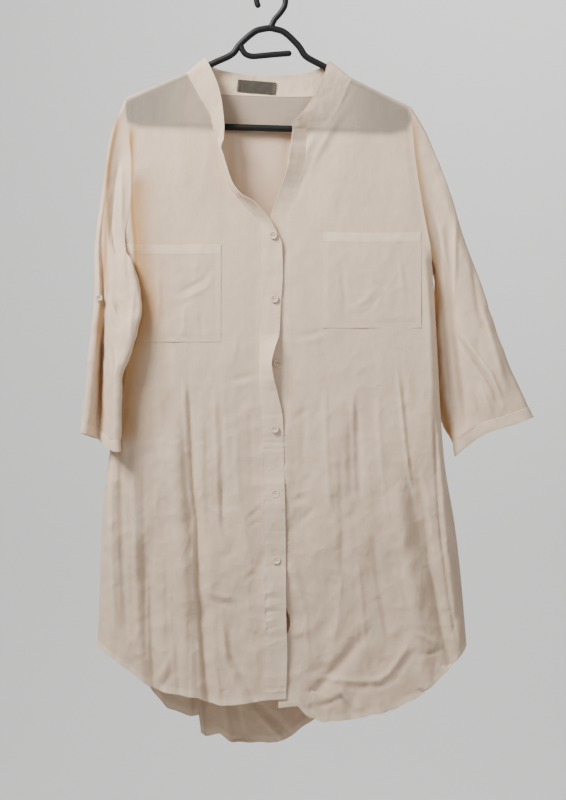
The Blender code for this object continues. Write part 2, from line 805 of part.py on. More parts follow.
def sleeve_grid(mirror, armhole_front, armhole_back, rings):
    """Return a sleeve's rings of outer points, the first one along the armhole.

    Each ring holds its front points from the outer edge to the inner one, then its back
    points on the way home.
    """
    shift = Vector((mirror * SEAM_GAP, 0, 0))
    front = [point + shift for point in armhole_front[:UNDERARM_ROW + 1]]
    back = [point + shift for point in armhole_back[:UNDERARM_ROW + 1]]
    front[0].y = front[-1].y = 0.0
    stations = [spine_stations(ring) for ring in rings]
    lines = [[lerp(fore, aft, 0.5) for fore, aft in zip(front, back)]]
    lines += [points for points, _ in stations]
    normals = grid_normals(lines, lambda point: Vector((0, -1, 0)), False)
    grid = [front + back[-2:0:-1]]
    for line, across, (_, halves) in zip(lines[1:], normals[1:], stations):
        fore = [point + normal * half for point, normal, half in zip(line, across, halves)]
        aft = [point - normal * half for point, normal, half in zip(line, across, halves)]
        grid.append(fore + aft[-2:0:-1])
    return grid


def tube_of_cloth(name, rings, wall, material, flat_start):
    """Make a sleeve or cuff from rings of outer points."""
    grid = [list(line) for line in zip(*rings)]
    centres = [sum(ring, Vector()) / len(ring) for ring in rings]

    def outward(point):
        nearest = min(centres, key=lambda centre: (centre - point).length)
        return point - nearest

    normals = grid_normals(grid, outward, True)
    if flat_start:
        for line in normals:
            line[0] = flatten(line[0], 0)
    inner = [
        [point - normal * wall for point, normal in zip(column, line)]
        for column, line in zip(grid, normals)
    ]
    return cloth_wall(name, grid, inner, True, material)


def sleeve_and_cuff(mirror, front_column, back_column, rings, cuff_end, cloth):
    """Make one sleeve with its cuff, and return the sleeve's rings."""
    side = "right" if mirror < 0 else "left"
    grid = sleeve_grid(mirror, front_column, back_column, rings + (cuff_end,))
    bottom = grid.pop()
    tube_of_cloth("sleeve_" + side, grid, WALL, cloth, True)
    top = [point + (end - point).normalized() * CUFF_GAP for point, end in zip(grid[-1], bottom)]
    middle = [lerp(start, end, 0.5) for start, end in zip(top, bottom)]
    tube_of_cloth("cuff_" + side, [top, middle, bottom], CUFF_WALL, cloth, False)
    return grid


def placket_grid(edge_column, rows):
    """Return a placket's points across: seam side, middle and free edge, for each row."""
    edge_x = curve_through([(row.seam_z, row.edge_x) for row in rows])
    drop = curve_through([(row.seam_z, row.edge_z - row.seam_z) for row in rows])
    lean = curve_through([(row.seam_z, row.lean) for row in rows])
    grid = []
    for point in edge_column:
        edge = Vector((edge_x(point.z), point.y - lean(point.z), point.z + drop(point.z)))
        start = point + (edge - point).normalized() * SEAM_GAP
        grid.append([start, lerp(start, edge, 0.5), edge])
    return grid


def square_to(normal, direction):
    """Return the normal turned square to a direction."""
    return (normal - direction * normal.dot(direction)).normalized()


def placket(name, grid, collar_rows, material):
    """Make a placket from its rows of points, its top square to the collar's rows."""
    normals = grid_normals(grid, lambda point: Vector((0, -1, 0)), False)
    for j, row in enumerate(collar_rows):
        normals[0][j] = square_to(normals[0][j], (row[1] - row[0]).normalized())
    inner = [
        [point - normal * WALL for point, normal in zip(row, line)]
        for row, line in zip(grid, normals)
    ]
    return cloth_wall(name, grid, inner, False, material)


def collar_seam(right_columns, left_columns, back, top_row, under_row):
    """Return the collar's seam points and their places, from the right end to the left."""
    shoulder = len(ROUND_STEPS) + len(SHOULDER_STEPS) - 2
    right_neck = [column[0] for column in right_columns[shoulder:]]
    left_neck = [column[0] for column in left_columns[shoulder:]]
    back_neck = [column[0] for column in back[shoulder + 1:len(back) - 1 - shoulder]]
    runs = (
        (0, top_row[::-1]),
        (1, right_neck[::-1]),
        (2, [right_neck[0]] + back_neck[:len(back_neck) // 2 + 1]),
        (3, back_neck[len(back_neck) // 2:] + [left_neck[0]]),
        (4, left_neck),
        (5, under_row),
    )
    places = []
    for place, points in runs:
        total = path_length(points)
        travelled = 0.0
        for i, point in enumerate(points):
            if i > 0:
                travelled += (point - points[i - 1]).length
            if i == 0 and places:
                continue
            places.append((round(place + travelled / total, 6), point.copy()))
    return places


def collar_rows(places):
    """Return the collar's points from its seam to its free edge, for each place."""
    edge = [curve_through([(row.place, row[k]) for row in COLLAR_EDGE]) for k in range(1, 5)]
    grid = []
    for place, seam in places:
        if place in (2, 4):
            seam.y = 0.0
        free = Vector((edge[0](place), edge[1](place), edge[2](place)))
        start = seam + (free - seam).normalized() * SEAM_GAP
        outwards = Vector((start.x, start.y * COLLAR_FLATNESS, 0)).normalized()
        bow = edge[3](place)
        grid.append([
            lerp(start, free, t) + outwards * bow * math.sin(math.pi * t) for t in COLLAR_ACROSS
        ])
    return grid


def collar(grid, material):
    """Make the band collar from its rows of points."""
    normals = grid_normals(grid, lambda point: point - Vector(COLLAR_CENTRE), False)
    for row, line in zip(grid, normals):
        line[0] = square_to(line[0], (row[1] - row[0]).normalized())
    inner = [
        [point - normal * WALL for point, normal in zip(row, line)]
        for row, line in zip(grid, normals)
    ]
    return cloth_wall("collar", grid, inner, False, material)


def patch_wall(name, patch, face, material):
    """Make a patch pocket on a panel's face, which gives y at x, z."""
    outer, inner = [], []
    step = 0.5
    for across in POCKET_STEPS:
        x = lerp(patch.x_start, patch.x_end, across)
        line_out, line_in = [], []
        for down in POCKET_ROWS:
            z = lerp(patch.z_top, patch.z_bottom, down)
            y = face(x, z)
            slope_x = (face(x + step, z) - face(x - step, z)) / (2 * step)
            slope_z = (face(x, z + step) - face(x, z - step)) / (2 * step)
            normal = Vector((slope_x, -1, slope_z)).normalized()
            base = Vector((x, y, z))
            line_in.append(base + normal * PATCH_GAP)
            line_out.append(base + normal * (PATCH_GAP + PATCH_WALL))
        outer.append(line_out)
        inner.append(line_in)
    return cloth_wall(name, outer, inner, False, material)


def label_wall(collar_grid, material):
    """Make the neck label on the inner face of the collar's back."""
    middle_x = (NECK_LABEL.x_start + NECK_LABEL.x_end) / 2
    middle_z = (NECK_LABEL.z_top + NECK_LABEL.z_bottom) / 2
    low = [row[0] for row in collar_grid if row[0].y > 0]
    high = [row[-1] for row in collar_grid if row[0].y > 0]
    seam_y = curve_through([(point.x, point.y) for point in low])
    seam_z = curve_through([(point.x, point.z) for point in low])
    edge_y = curve_through([(point.x, point.y) for point in high])
    edge_z = curve_through([(point.x, point.z) for point in high])
    outer, inner = [], []
    for i in range(LABEL_COLUMNS):
        across = lerp(NECK_LABEL.x_start, NECK_LABEL.x_end, i / (LABEL_COLUMNS - 1)) - middle_x
        line_out, line_in = [], []
        for j in range(LABEL_ROWS):
            height = lerp(NECK_LABEL.z_top, NECK_LABEL.z_bottom, j / (LABEL_ROWS - 1)) - middle_z
            x = middle_x + across * math.cos(LABEL_TILT) + height * math.sin(LABEL_TILT)
            z = middle_z + height * math.cos(LABEL_TILT) - across * math.sin(LABEL_TILT)
            t = (z - seam_z(x)) / (edge_z(x) - seam_z(x))
            y = lerp(seam_y(x), edge_y(x), t) - WALL - LABEL_GAP
            line_in.append(Vector((x, y, z)))
            line_out.append(Vector((x, y - LABEL_WALL, z)))
        outer.append(line_out)
        inner.append(line_in)
    return cloth_wall("neck_label", outer, inner, False, material)


def button(name, place, facing, radius, material):
    """Make a dished button whose back is at place, facing along a direction."""
    mesh_data = bmesh.new()
    turned = Vector((0, 0, 1)).rotation_difference(facing)
    rings = []
    for inset, height in BUTTON_SECTION:
        distance = radius - inset
        ring = []
        for k in range(BUTTON_SIDES):
            angle = 2 * math.pi * k / BUTTON_SIDES
            local = Vector((distance * math.cos(angle), distance * math.sin(angle), height))
            ring.append(mesh_data.verts.new((place + turned @ local) * MM))
        rings.append(ring)
    for near, far in zip(rings, rings[1:]):
        for k in range(BUTTON_SIDES):
            after = (k + 1) % BUTTON_SIDES
            mesh_data.faces.new((near[k], near[after], far[after], far[k]))
    mesh_data.faces.new(rings[0][::-1])
    mesh_data.faces.new(rings[-1])
    return finish_mesh(name, mesh_data, material)


def point_on_grid(grid, x, z):
    """Return the point and the forward normal of a grid of points at x, z."""
    for before, after in zip(grid, grid[1:]):
        for j in range(len(before) - 1):
            for corners in ((before[j], before[j + 1], after[j + 1]), (before[j], after[j + 1], after[j])):
                flat = [Vector((corner.x, corner.z)) for corner in corners]
                area = (flat[1] - flat[0]).cross(flat[2] - flat[0])
                here = Vector((x, z))
                parts = [
                    (flat[(k + 1) % 3] - here).cross(flat[(k + 2) % 3] - here) / area
                    for k in range(3)
                ]
                if min(parts) >= 0:
                    point = sum((corner * part for corner, part in zip(corners, parts)), Vector())
                    normal = (corners[1] - corners[0]).cross(corners[2] - corners[0]).normalized()
                    return point, normal if normal.y < 0 else -normal
    raise ValueError("no cloth at %s, %s" % (x, z))


def front_buttons(top_grid, under_grid, material):
    """Make the buttons down the front, each flat on the placket that it shows on."""
    for number, (x, z) in enumerate(FRONT_BUTTONS):
        grid = under_grid if number == UNDONE_BUTTON else top_grid
        around = [(x, z)]
        around += [(x - BUTTON_FOOT, z), (x + BUTTON_FOOT, z)]
        around += [(x, z - BUTTON_FOOT), (x, z + BUTTON_FOOT)]
        found = [point_on_grid(grid, *place) for place in around]
        facing = sum((normal for _, normal in found), Vector()).normalized()
        middle = found[0][0]
        clear = max((point - middle).dot(facing) for point, _ in found) + BUTTON_GAP
        button("button_%d" % (number + 1), middle + facing * clear, facing, BUTTON_RADIUS, material)


def sleeve_button(name, grid, ring, column, material):
    """Make the button that holds up a rolled sleeve, on the sleeve's outer point given."""
    point = grid[ring][column]
    across = grid[ring][column + 1] - grid[ring][column - 1]
    down = grid[ring + 1][column] - grid[ring - 1][column]
    facing = across.cross(down).normalized()
    if facing.dot(point - grid[ring][-column]) < 0:
        facing = -facing
    button(name, point + facing * BUTTON_GAP, facing, SLEEVE_BUTTON_RADIUS, material)


def tube_mesh(path, radius, closed):
    """Return a bmesh of a round tube along a path in the hanger's plane."""
    mesh_data = bmesh.new()
    rings = []
    count = len(path)
    for i, point in enumerate(path):
        before = path[(i - 1) % count] if closed else path[max(i - 1, 0)]
        after = path[(i + 1) % count] if closed else path[min(i + 1, count - 1)]
        along = (after - before).normalized()
        sideways = Vector((0, 1, 0))
        upward = along.cross(sideways).normalized()
        ring = []
        for k in range(TUBE_SIDES):
            angle = 2 * math.pi * k / TUBE_SIDES
            offset = sideways * math.sin(angle) + upward * math.cos(angle)
            ring.append(mesh_data.verts.new((point + offset * radius) * MM))
        rings.append(ring)
    last = count if closed else count - 1
    for i in range(last):
        near, far = rings[i], rings[(i + 1) % count]
        for k in range(TUBE_SIDES):
            after = (k + 1) % TUBE_SIDES
            mesh_data.faces.new((near[k], near[after], far[after], far[k]))
    if not closed:
        mesh_data.faces.new(rings[0][::-1])
        mesh_data.faces.new(rings[-1])
    return mesh_data


def hanger_loop():
    """Return the closed centre line of the hanger's arms and lower bar."""
    half = [tilted(x, z) for x, z, _ in HANGER_HALF]
    other = [tilted(-x, z) for x, z, _ in HANGER_HALF]
    counts = [row[2] for row in HANGER_HALF]
    left = path_through(half, counts[:-1])
    right = path_through(other, counts[:-1])
    return left + right[:0:-1]


def hook_path():
    """Return the hook's centre line, from its tip over the rail to the hanger's top."""
    radius = HOOK_INNER_RADIUS + HOOK_RADIUS
    centre = Vector((0, 0, -HOOK_INNER_RADIUS))
    arc = []
    for k in range(HOOK_STEPS + 1):
        angle = lerp(HOOK_SWEEP, 0, k / HOOK_STEPS)
        arc.append(centre + Vector((math.cos(angle), 0, math.sin(angle))) * radius)
    stem = [Vector((x, 0, z)) for x, z in HOOK_STEM]
    foot = tilted(0, HANGER_HALF[0][1])
    return arc + stem + [foot]


def hanger(material):
    """Make the hanger: one tube for arms and bar, joined to the hook and the strap hook."""
    body = finish_mesh("hanger", tube_mesh(hanger_loop(), TUBE_RADIUS, True), material)
    strap = [tilted(x, z) for x, z in STRAP_HOOK]
    for name, path, radius in (
        ("hanger_hook", hook_path(), HOOK_RADIUS),
        ("hanger_strap_hook", strap, STRAP_HOOK_RADIUS),
    ):
        extra = finish_mesh(name, tube_mesh(path, radius, False), material)
        extra.hide_render = True
        extra.display_type = "WIRE"
        union = body.modifiers.new(name, "BOOLEAN")
        union.operation = "UNION"
        union.object = extra
    return body


def clear_scene():
    """Remove what the scene holds."""
    for item in list(bpy.data.objects):
        bpy.data.objects.remove(item, do_unlink=True)


def build():
    """Make every piece of the shirt and its hanger."""
    clear_scene()
    cloth = principled("cloth", CLOTH_COLOUR, 0.85)
    band = principled("placket_cloth", PLACKET_COLOUR, 0.85)
    label = principled("label_cloth", LABEL_COLOUR, 0.7)
    horn = principled("button_plastic", BUTTON_COLOUR, 0.35)
    black = principled("hanger_plastic", HANGER_COLOUR, 0.4)

    hanger(black)
    right = front_columns(-1, list(RIGHT_NECK), seam_of_top, curve_through(RIGHT_FRONT_HEM),
                          right_front, UNDERARM_RIGHT)
    left = front_columns(1, list(LEFT_NECK), seam_of_under, curve_through(LEFT_FRONT_HEM),
                         left_front, UNDERARM_LEFT)
    back = back_columns(list(BACK_NECK))
    panel("front_right", right, -1, cloth, (0,))
    panel("front_left", left, -1, cloth, (0,))
    panel("back", back, 1, cloth, (0, len(back) - 1))

    top_grid = placket_grid(right[-1], TOP_PLACKET)
    under_grid = placket_grid(left[-1], UNDER_PLACKET)
    collar_grid = collar_rows(collar_seam(right, left, back, top_grid[0], under_grid[0]))
    collar(collar_grid, band)
    label_wall(collar_grid, label)
    across = len(top_grid[0])
    placket("placket_top", top_grid, collar_grid[:across][::-1], band)
    placket("placket_under", under_grid, collar_grid[-across:], band)

    patch_wall("pocket_right", RIGHT_POCKET, right_front, band)
    patch_wall("pocket_left", LEFT_POCKET, left_front, band)

    right_grid = sleeve_and_cuff(-1, right[0], back[0], RIGHT_SLEEVE, RIGHT_CUFF_END, cloth)
    left_grid = sleeve_and_cuff(1, left[0], back[-1], LEFT_SLEEVE, LEFT_CUFF_END, cloth)

    front_buttons(top_grid, under_grid, horn)
    sleeve_button("sleeve_button_right", right_grid, 4, 2, horn)
    sleeve_button("sleeve_button_left", left_grid, 4, 22, horn)


build()
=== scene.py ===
"""The looks of the long shirt on its hanger: its cloth, sewing, buttons, label and hanger.

The shirt faces -Y and hangs along -Z from the hook. Left and right are the wearer's, so
the right side is at -X. The tables are in millimetres, each with named columns.
"""

import math
from bisect import bisect_right
from collections import namedtuple

import bmesh
import bpy
import numpy as np
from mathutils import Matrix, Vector, noise


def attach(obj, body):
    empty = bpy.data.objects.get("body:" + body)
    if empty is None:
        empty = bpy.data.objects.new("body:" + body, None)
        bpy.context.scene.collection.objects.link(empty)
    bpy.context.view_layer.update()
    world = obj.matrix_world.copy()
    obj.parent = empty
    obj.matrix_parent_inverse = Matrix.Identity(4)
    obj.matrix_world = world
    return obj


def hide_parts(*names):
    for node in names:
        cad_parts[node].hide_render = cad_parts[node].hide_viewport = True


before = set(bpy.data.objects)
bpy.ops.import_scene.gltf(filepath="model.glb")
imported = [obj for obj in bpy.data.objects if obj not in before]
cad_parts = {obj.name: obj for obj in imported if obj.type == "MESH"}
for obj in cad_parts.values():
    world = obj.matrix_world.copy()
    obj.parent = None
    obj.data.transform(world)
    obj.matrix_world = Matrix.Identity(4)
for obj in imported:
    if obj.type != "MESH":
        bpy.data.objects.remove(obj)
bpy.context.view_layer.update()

MM = 0.001

# Cloth
CLOTH_THICKNESS = 0.55
BAND_THICKNESS = 0.9
POCKET_THICKNESS = 0.55
LABEL_THICKNESS = 0.45

# The cut of each shell: the longest edge of its quads
PANEL_STEP = 3.0
BACK_STEP = 3.8
BAND_STEP = 2.0
SLEEVE_STEP = 3.0
CUFF_STEP = 1.6
POCKET_STEP = 2.0

# Hanger
TUBE_RADIUS = 4.5
STRAP_HOOK_RADIUS = 4.1
HANGER_TILT = math.radians(1.7)
HOOK_RADIUS = 4.0
HOOK_INNER_RADIUS = 16.0
HOOK_SWEEP = math.radians(205)
HOOK_STEPS = 24
WALL = 1.4
SHOULDER_CLEARANCE = 0.7

# How far the cloth's outer face lies from the centre line of the hanger's arm, and how far
# down a panel that roundness reaches
SHOULDER_ROUND = TUBE_RADIUS + SHOULDER_CLEARANCE + WALL
SHOULDER_REACH = SHOULDER_ROUND * 1.09

# Where a rounded edge is sampled, as a part of its radius: 0, 30, 60 and 90 degrees round
ROUND_STEPS = tuple(1 - math.cos(math.radians(angle)) for angle in (0, 30, 60, 90))

# Buttons
BUTTON_RADIUS = 5.4
SLEEVE_BUTTON_RADIUS = 4.5
BUTTON_SIDES = 48

# In parts of a button's radius: where the holes are, their radius, how far apart the threads
# lie, and the threads' and the shanks' radius
HOLE_PLACE = 0.26
HOLE_RADIUS = 0.19
STRAND_GAP = 0.05
STRAND_RADIUS = 0.045
SHANK_RADIUS = 0.07

# How high over a button's back its threads lie, and how far a shank and a drill reach
STRAND_HEIGHT = 1.46
SHANK_BACK = 0.7
SHANK_FRONT = 1.0
DRILL_BACK = 2.0
DRILL_LENGTH = 7.0

# A button's outline from its back: how far in from its rim, and the height
BUTTON_PROFILE = (
    (1.1, 0.0), (0.4, 0.12), (0.08, 0.45), (0.0, 0.85), (0.0, 1.35), (0.1, 1.75), (0.4, 2.05),
    (0.8, 2.15), (1.2, 2.05), (1.6, 1.75), (2.1, 1.45), (3.0, 1.35),
)

# The middle of its hollow: a part of the radius, and the height
BUTTON_DIP = (0.2, 1.38)

# The sides of round rods and tubes, and where a tube's rounded end is sampled, in degrees
ROD_SIDES = 10
TUBE_SIDES = 28
STRAP_SIDES = 24
TIP_ANGLES = (8, 25, 45, 65, 80, 90, 100, 115, 135, 155, 172)

# Stitches, and the dent that a row of them presses into the cloth
STITCH_PITCH = 3.0
STITCH_LENGTH = 2.2
STITCH_THICKNESS = 0.32
STITCH_LIFT = 0.12
DENT_DEPTH = 0.16
DENT_WIDTH = 1.1

# Label
LABEL_LIFT = 0.35
LABEL_STAND = 1.4
LABEL_COLUMNS = 54
LABEL_ROWS = 18
LABEL_FOLD = 4.0
LABEL_FOLD_RISE = 0.35
LABEL_BOW = 0.3

# How far up a panel its hem is shaped, and the small waves of a hem
HEM_REACH = 60.0
HEM_WAVE = 1.3

# How far from a seam the cloth is held still: at a panel's top, its side, a sleeve's top, a
# placket's top and a collar's seam
TOP_STILL = 26.0
SIDE_STILL = 14.0
SLEEVE_STILL = 14.0
BAND_STILL = 8.0
COLLAR_STILL = 6.0

# Smooth noise: what brings it to about 1, how wide its wrinkles are, the larger waves that
# gather them into patches, and the seeds of both sides of the shirt
WAVE_GAIN = 1.6
WRINKLE_WIDTH = 0.16
WRINKLE_SPREAD = 1.6
SPREAD_ACROSS = 1.7
SPREAD_DOWN = 0.8
SPREAD_SEED = 31.0
FRONT_SEED = 11.0
BACK_SEED = 23.0

# The plain paler tones of doubled cloth: placket, collar and cuff; the collar's even painted
# shade; and the cuff's rims, paler doubled cloth with a painted highlight, and their width
PLACKET_TONE = 0.15
COLLAR_TONE = 0.12
COLLAR_SHADE = 0.12
CUFF_TONE = 0.2
CUFF_RIM_TONE = 0.5
CUFF_RIM_WIDTH = 1.2

# A cuff stands off its sleeve, with a rounded edge and a dent along its stitches
CUFF_STAND = 0.45
CUFF_ROUND = 1.5
CUFF_STITCHES = 2.2
CUFF_DENT = 0.2
CUFF_DENT_WIDTH = 0.9

# A sleeve dips beside its seam. Its creases show on the side that faces the camera, and the
# same ones, shifted, lie on the side behind.
SEAM_DIP = 0.3
SEAM_DIP_WIDTH = 1.2
FACING_GAIN = 2.5
HIDDEN_SHIFT_X = 9.0
HIDDEN_SHIFT_Z = 16.0

# The hanger's painted shade on the shoulders' cloth, standing in for the dark hanger and its
# shadow seen through it: how dark its bar and the space inside its loop are at the neck (1 at
# the shoulder tips), their soft edges, and the height where the shade ends
BAR_SHADE = 0.9
INNER_SHADE = 0.72
BAR_SHADE_WIDTH = 6.5
SHADE_EDGE = 6.0
TIP_SHADE_START = 95.0
TIP_SHADE_REACH = 70.0
SHADE_END = -230.0
WELL_BELOW_HANGER = -600.0

# Where the cloth begins to hang loose, and how far down it is at its loosest: in the
# shading, on the body, on the sleeves and on the plackets
Slack = namedtuple("Slack", "z_top reach")
SHADING_SLACK = Slack(-360.0, 520.0)
BODY_SLACK = Slack(-420.0, 330.0)
SLEEVE_SLACK = Slack(-330.0, 160.0)
PLACKET_SLACK = Slack(-540.0, 140.0)

# The rise of a border at which doubled cloth is at its lightest, and how soft its step is
FULL_STEP = 0.32
STEP_WIDTH = 1.4

# How strong the shading is: the depth of its crumples in metres, how dark the painted shade
# makes the skirt towards its bottom, the painted shade in a crease's trough and the painted
# highlight on its crest, and how much of a crease's width they take
CRUMPLE_DEPTH = 0.003
SKIRT_SHADE = 0.2
TROUGH_SHADE = 0.26
CREST_HIGHLIGHT = 0.5
TONE_WIDTH = 0.7
GLOW_FADE = 30.0

# Colours
CLOTH_COLOUR = (0.78, 0.605, 0.45)
# Paler doubled cloth, and the painted highlight on rims and crease crests
PALE_AND_HIGHLIGHT_COLOUR = (0.90, 0.73, 0.55)
# The painted glow's colour, put where light bounced between layers would show
PAINTED_GLOW_COLOUR = (0.50, 0.265, 0.085)
# The painted shade's colour: the hanger through the cloth, the crease troughs and the collar
SHADE_COLOUR = (0.27, 0.23, 0.19)
THROUGH_COLOUR = (0.88, 0.66, 0.45)
THREAD_COLOUR = (0.70, 0.59, 0.48)
BUTTON_COLOUR = (0.66, 0.53, 0.41)
LABEL_COLOUR = (0.055, 0.047, 0.038)
HANGER_COLOUR = (0.006, 0.006, 0.0065)

# Patterns of the materials, in waves a metre: the cloth's crumples, nicks, yarns and soft
# unevenness, its drifting and mottled tones, and the label's yarns
CRUMPLE_SCALE = 17.0
NICK_SCALE = 40.0
YARN_SCALE = 1100.0
SLUB_STRETCH = 0.045
SOFT_SCALE = 140.0
DRIFT_SCALE = 14.0
MOTTLE_SCALE = 85.0
LABEL_YARN_SCALE = 2600.0
LABEL_YARN_STRETCH = 0.03

# Studio. The backdrop curves up from the floor: its front and back, its bend, its top and
# half its width, in metres
BACKDROP_NEAR = -3.2
BACKDROP_FAR = 3.4
BACKDROP_BEND = 0.9
BACKDROP_TOP = 3.2
BACKDROP_HALF = 4.5
FLOOR_HEIGHT = -1.9
WORLD_STRENGTH = 0.3
CAMERA_PLACE = (0.0164, -2.608, -0.567)
CAMERA_LENS = 85.4
Lamp = namedtuple("Lamp", "name place aim size power colour")
LAMPS = (
    Lamp("window", (-1.3, -1.05, 1.05), (-0.05, 0.0, -0.05), 0.8, 116.0, (1.0, 0.98, 0.95)),
    Lamp("room", (1.3, -1.7, 0.8), (0.0, 0.0, -0.1), 1.8, 20.0, (1.0, 0.97, 0.94)),
    Lamp("behind", (0.4, 1.9, 1.0), (0.0, 0.0, -0.1), 1.6, 26.0, (1.0, 0.96, 0.91)),
    Lamp("wall", (0.9, 1.4, 1.5), (0.7, 3.4, 0.3), 1.4, 52.0, (1.0, 1.0, 1.0)),
)

# The hanger's left half before its tilt: x, z, and the points put in before the next row
HANGER_HALF = (
    (0.0, -56.0, 2),
    (18.0, -60.0, 2),
    (33.0, -72.0, 2),
    (42.4, -82.0, 2),
    (49.0, -91.8, 2),
    (60.0, -98.8, 1),
    (79.0, -108.0, 1),
    (113.5, -127.8, 1),
    (181.0, -158.5, 2),
    (189.0, -164.0, 2),
    (193.6, -172.0, 2),
    (193.2, -181.0, 2),
    (188.0, -188.4, 2),
    (178.0, -192.8, 2),
    (164.0, -193.5, 1),
)
ARM_INNER = (113.5, -127.8)
ARM_OUTER = (181.0, -158.5)

# The hook's stem, from the end of its arc to the hanger's top: x, z
HOOK_STEM = (
    (18.5, -26.0),
    (12.0, -36.0),
    (5.0, -44.0),
    (1.0, -52.0),
)

# The strap hook below the hanger's right arm: x, z
STRAP_HOOK = (
    (-39.5, -80.0),
    (-37.5, -86.0),
    (-32.5, -92.5),
    (-23.5, -95.5),
    (-10.0, -94.2),
    (8.0, -92.0),
    (27.0, -90.0),
)

# Points of the neck and shoulder: x
SHOULDER_TIP_RIGHT = -200.0
NECK_POINT_RIGHT = -116.5
NECK_POINT_LEFT = 111.0
SHOULDER_TIP_LEFT = 193.2

# Heights of the underarms
UNDERARM_RIGHT = -371.0
UNDERARM_LEFT = -378.0
UNDERARM_ROUND = 30.0

# The body's side edges: z, x. The armhole is the stretch above the underarm.
RIGHT_SIDE = (
    (-153, -199.5),
    (-180, -198.5),
    (-215, -194),
    (-260, -190.5),
    (-315, -194),
    (-371, -206),
    (-430, -206),
    (-500, -210),
    (-580, -216),
    (-643, -222),
    (-684, -228),
    (-727, -231.5),
    (-788, -234),
    (-847, -236),
    (-903, -238.5),
)
LEFT_SIDE = (
    (-166, 193),
    (-190, 194),
    (-232, 197.5),
    (-279, 204),
    (-327, 212),
    (-378, 221),
    (-485, 227.5),
    (-588, 233),
    (-668, 240),
    (-722, 250),
    (-803, 260),
    (-903, 268.5),
)

# The hems: x, z
RIGHT_FRONT_HEM = (
    (-238.5, -903),
    (-220, -915),
    (-200, -930),
    (-182, -945),
    (-160, -960),
    (-119, -968.5),
    (-96, -972),
    (-72, -982),
    (-37, -979.5),
    (-8, -975),
)
LEFT_FRONT_HEM = (
    (36, -981),
    (50, -996),
    (67, -1003.5),
    (98, -1002.5),
    (137, -995.5),
    (177, -983),
    (203, -968),
    (226, -948),
    (253, -921),
    (268.5, -903),
)
BACK_HEM = (
    (-238.5, -903),
    (-220, -909),
    (-200, -922),
    (-182, -940),
    (-162, -962),
    (-141, -986),
    (-118, -999),
    (-97, -1014),
    (-72, -1023),
    (-50, -1033),
    (8, -1036),
    (30, -1026),
    (45, -1011),
    (67, -1000),
    (98, -995),
    (137, -988),
    (177, -975),
    (203, -959),
    (226, -939),
    (253, -914),
    (268.5, -903),
)

# The neck seam from each neck point: x, z
RIGHT_NECK = (
    (-100.0, -148.0),
    (-90.5, -164.0),
    (-83.6, -176.7),
    (-79.4, -192.5),
    (-74.0, -208.0),
)
LEFT_NECK = (
    (104.0, -138.0),
    (93.0, -164.0),
    (76.7, -183.0),
    (62.0, -190.0),
    (49.0, -194.5),
)
BACK_NECK = (
    (-104.0, -134.0),
    (-88.0, -142.5),
    (-60.0, -146.5),
    (-30.0, -148.0),
    (0.0, -149.0),
    (30.0, -149.5),
    (58.0, -149.0),
    (82.0, -146.0),
    (99.0, -138.5),
)

# The buttonhole placket. seam_z and seam_x are where it joins the right front, edge_x and
# edge_z its free edge, and lean how far that edge stands forward of the seam.
Placket = namedtuple("Placket", "seam_z seam_x edge_x edge_z lean")
TOP_PLACKET = (
    Placket(-208, -74.0, -68.5, -224, 19),
    Placket(-236, -68.5, -62.0, -245, 21),
    Placket(-262, -61.0, -55.0, -268, 22),
    Placket(-284, -52.0, -42.0, -287, 20),
    Placket(-298, -40.0, -22.0, -299, 15),
    Placket(-313, -24.7, -6.0, -315, 9),
    Placket(-333, -12.5, 6.0, -334, 4),
    Placket(-356, -12.5, 15.0, -356, 1.5),
    Placket(-392, -12.0, 16.0, -392, 1),
    Placket(-444, -14.5, 13.0, -444, 1),
    Placket(-475, -15.0, 11.5, -475, 3),
    Placket(-497, -15.5, 5.0, -497, 11),
    Placket(-516, -16.0, 1.0, -516, 14),
    Placket(-536, -16.0, 3.5, -536, 11),
    Placket(-560, -15.0, 9.5, -560, 4),
    Placket(-595, -12.0, 16.2, -595, 1),
    Placket(-684, -9.6, 18.4, -684, 0.5),
    Placket(-773, -8.0, 20.0, -773, 0.5),
    Placket(-847, -8.0, 20.3, -847, 2),
    Placket(-906, -6.0, 22.0, -906, 2.5),
    Placket(-975, -8.0, 20.3, -973, 0.5),
)

# The button placket, under it
UNDER_PLACKET = (
    Placket(-194.5, 49.0, 30.0, -197, 9),
    Placket(-245, 46.0, 24.0, -243, 8),
    Placket(-280, 36.0, 12.0, -280, 5),
    Placket(-318, 24.0, -1.0, -318, 0.5),
    Placket(-356, 22.0, -6.0, -356, 0),
    Placket(-600, 22.0, -6.0, -600, 0),
    Placket(-760, 24.0, -4.0, -760, 0),
    Placket(-820, 34.0, 8.0, -820, 0),
    Placket(-870, 47.0, 26.0, -870, 0),
    Placket(-906, 42.0, 15.0, -906, 0),
    Placket(-981, 36.0, 10.0, -984, 0),
)

# How far the body stands out from the hanger's plane, past the shoulder's roundness: z, y
FRONT_FULLNESS = ((-200, 3), (-300, 8), (-371, 11), (-500, 14), (-700, 18), (-980, 24))
BACK_FULLNESS = ((-200, 2), (-371, 6), (-600, 9), (-1036, 14))
FULLNESS_REACH = 120.0

# The radius that a side seam is rounded with: z, radius
SIDE_ROUND = ((-500, 14), (-903, 26))
ARMHOLE_ROUND = SIDE_ROUND[0][1]

# The left front lies this much deeper at its edge, so that the placket passes over it
LAP_DEPTH = 2.3
LAP_REACH = 60.0

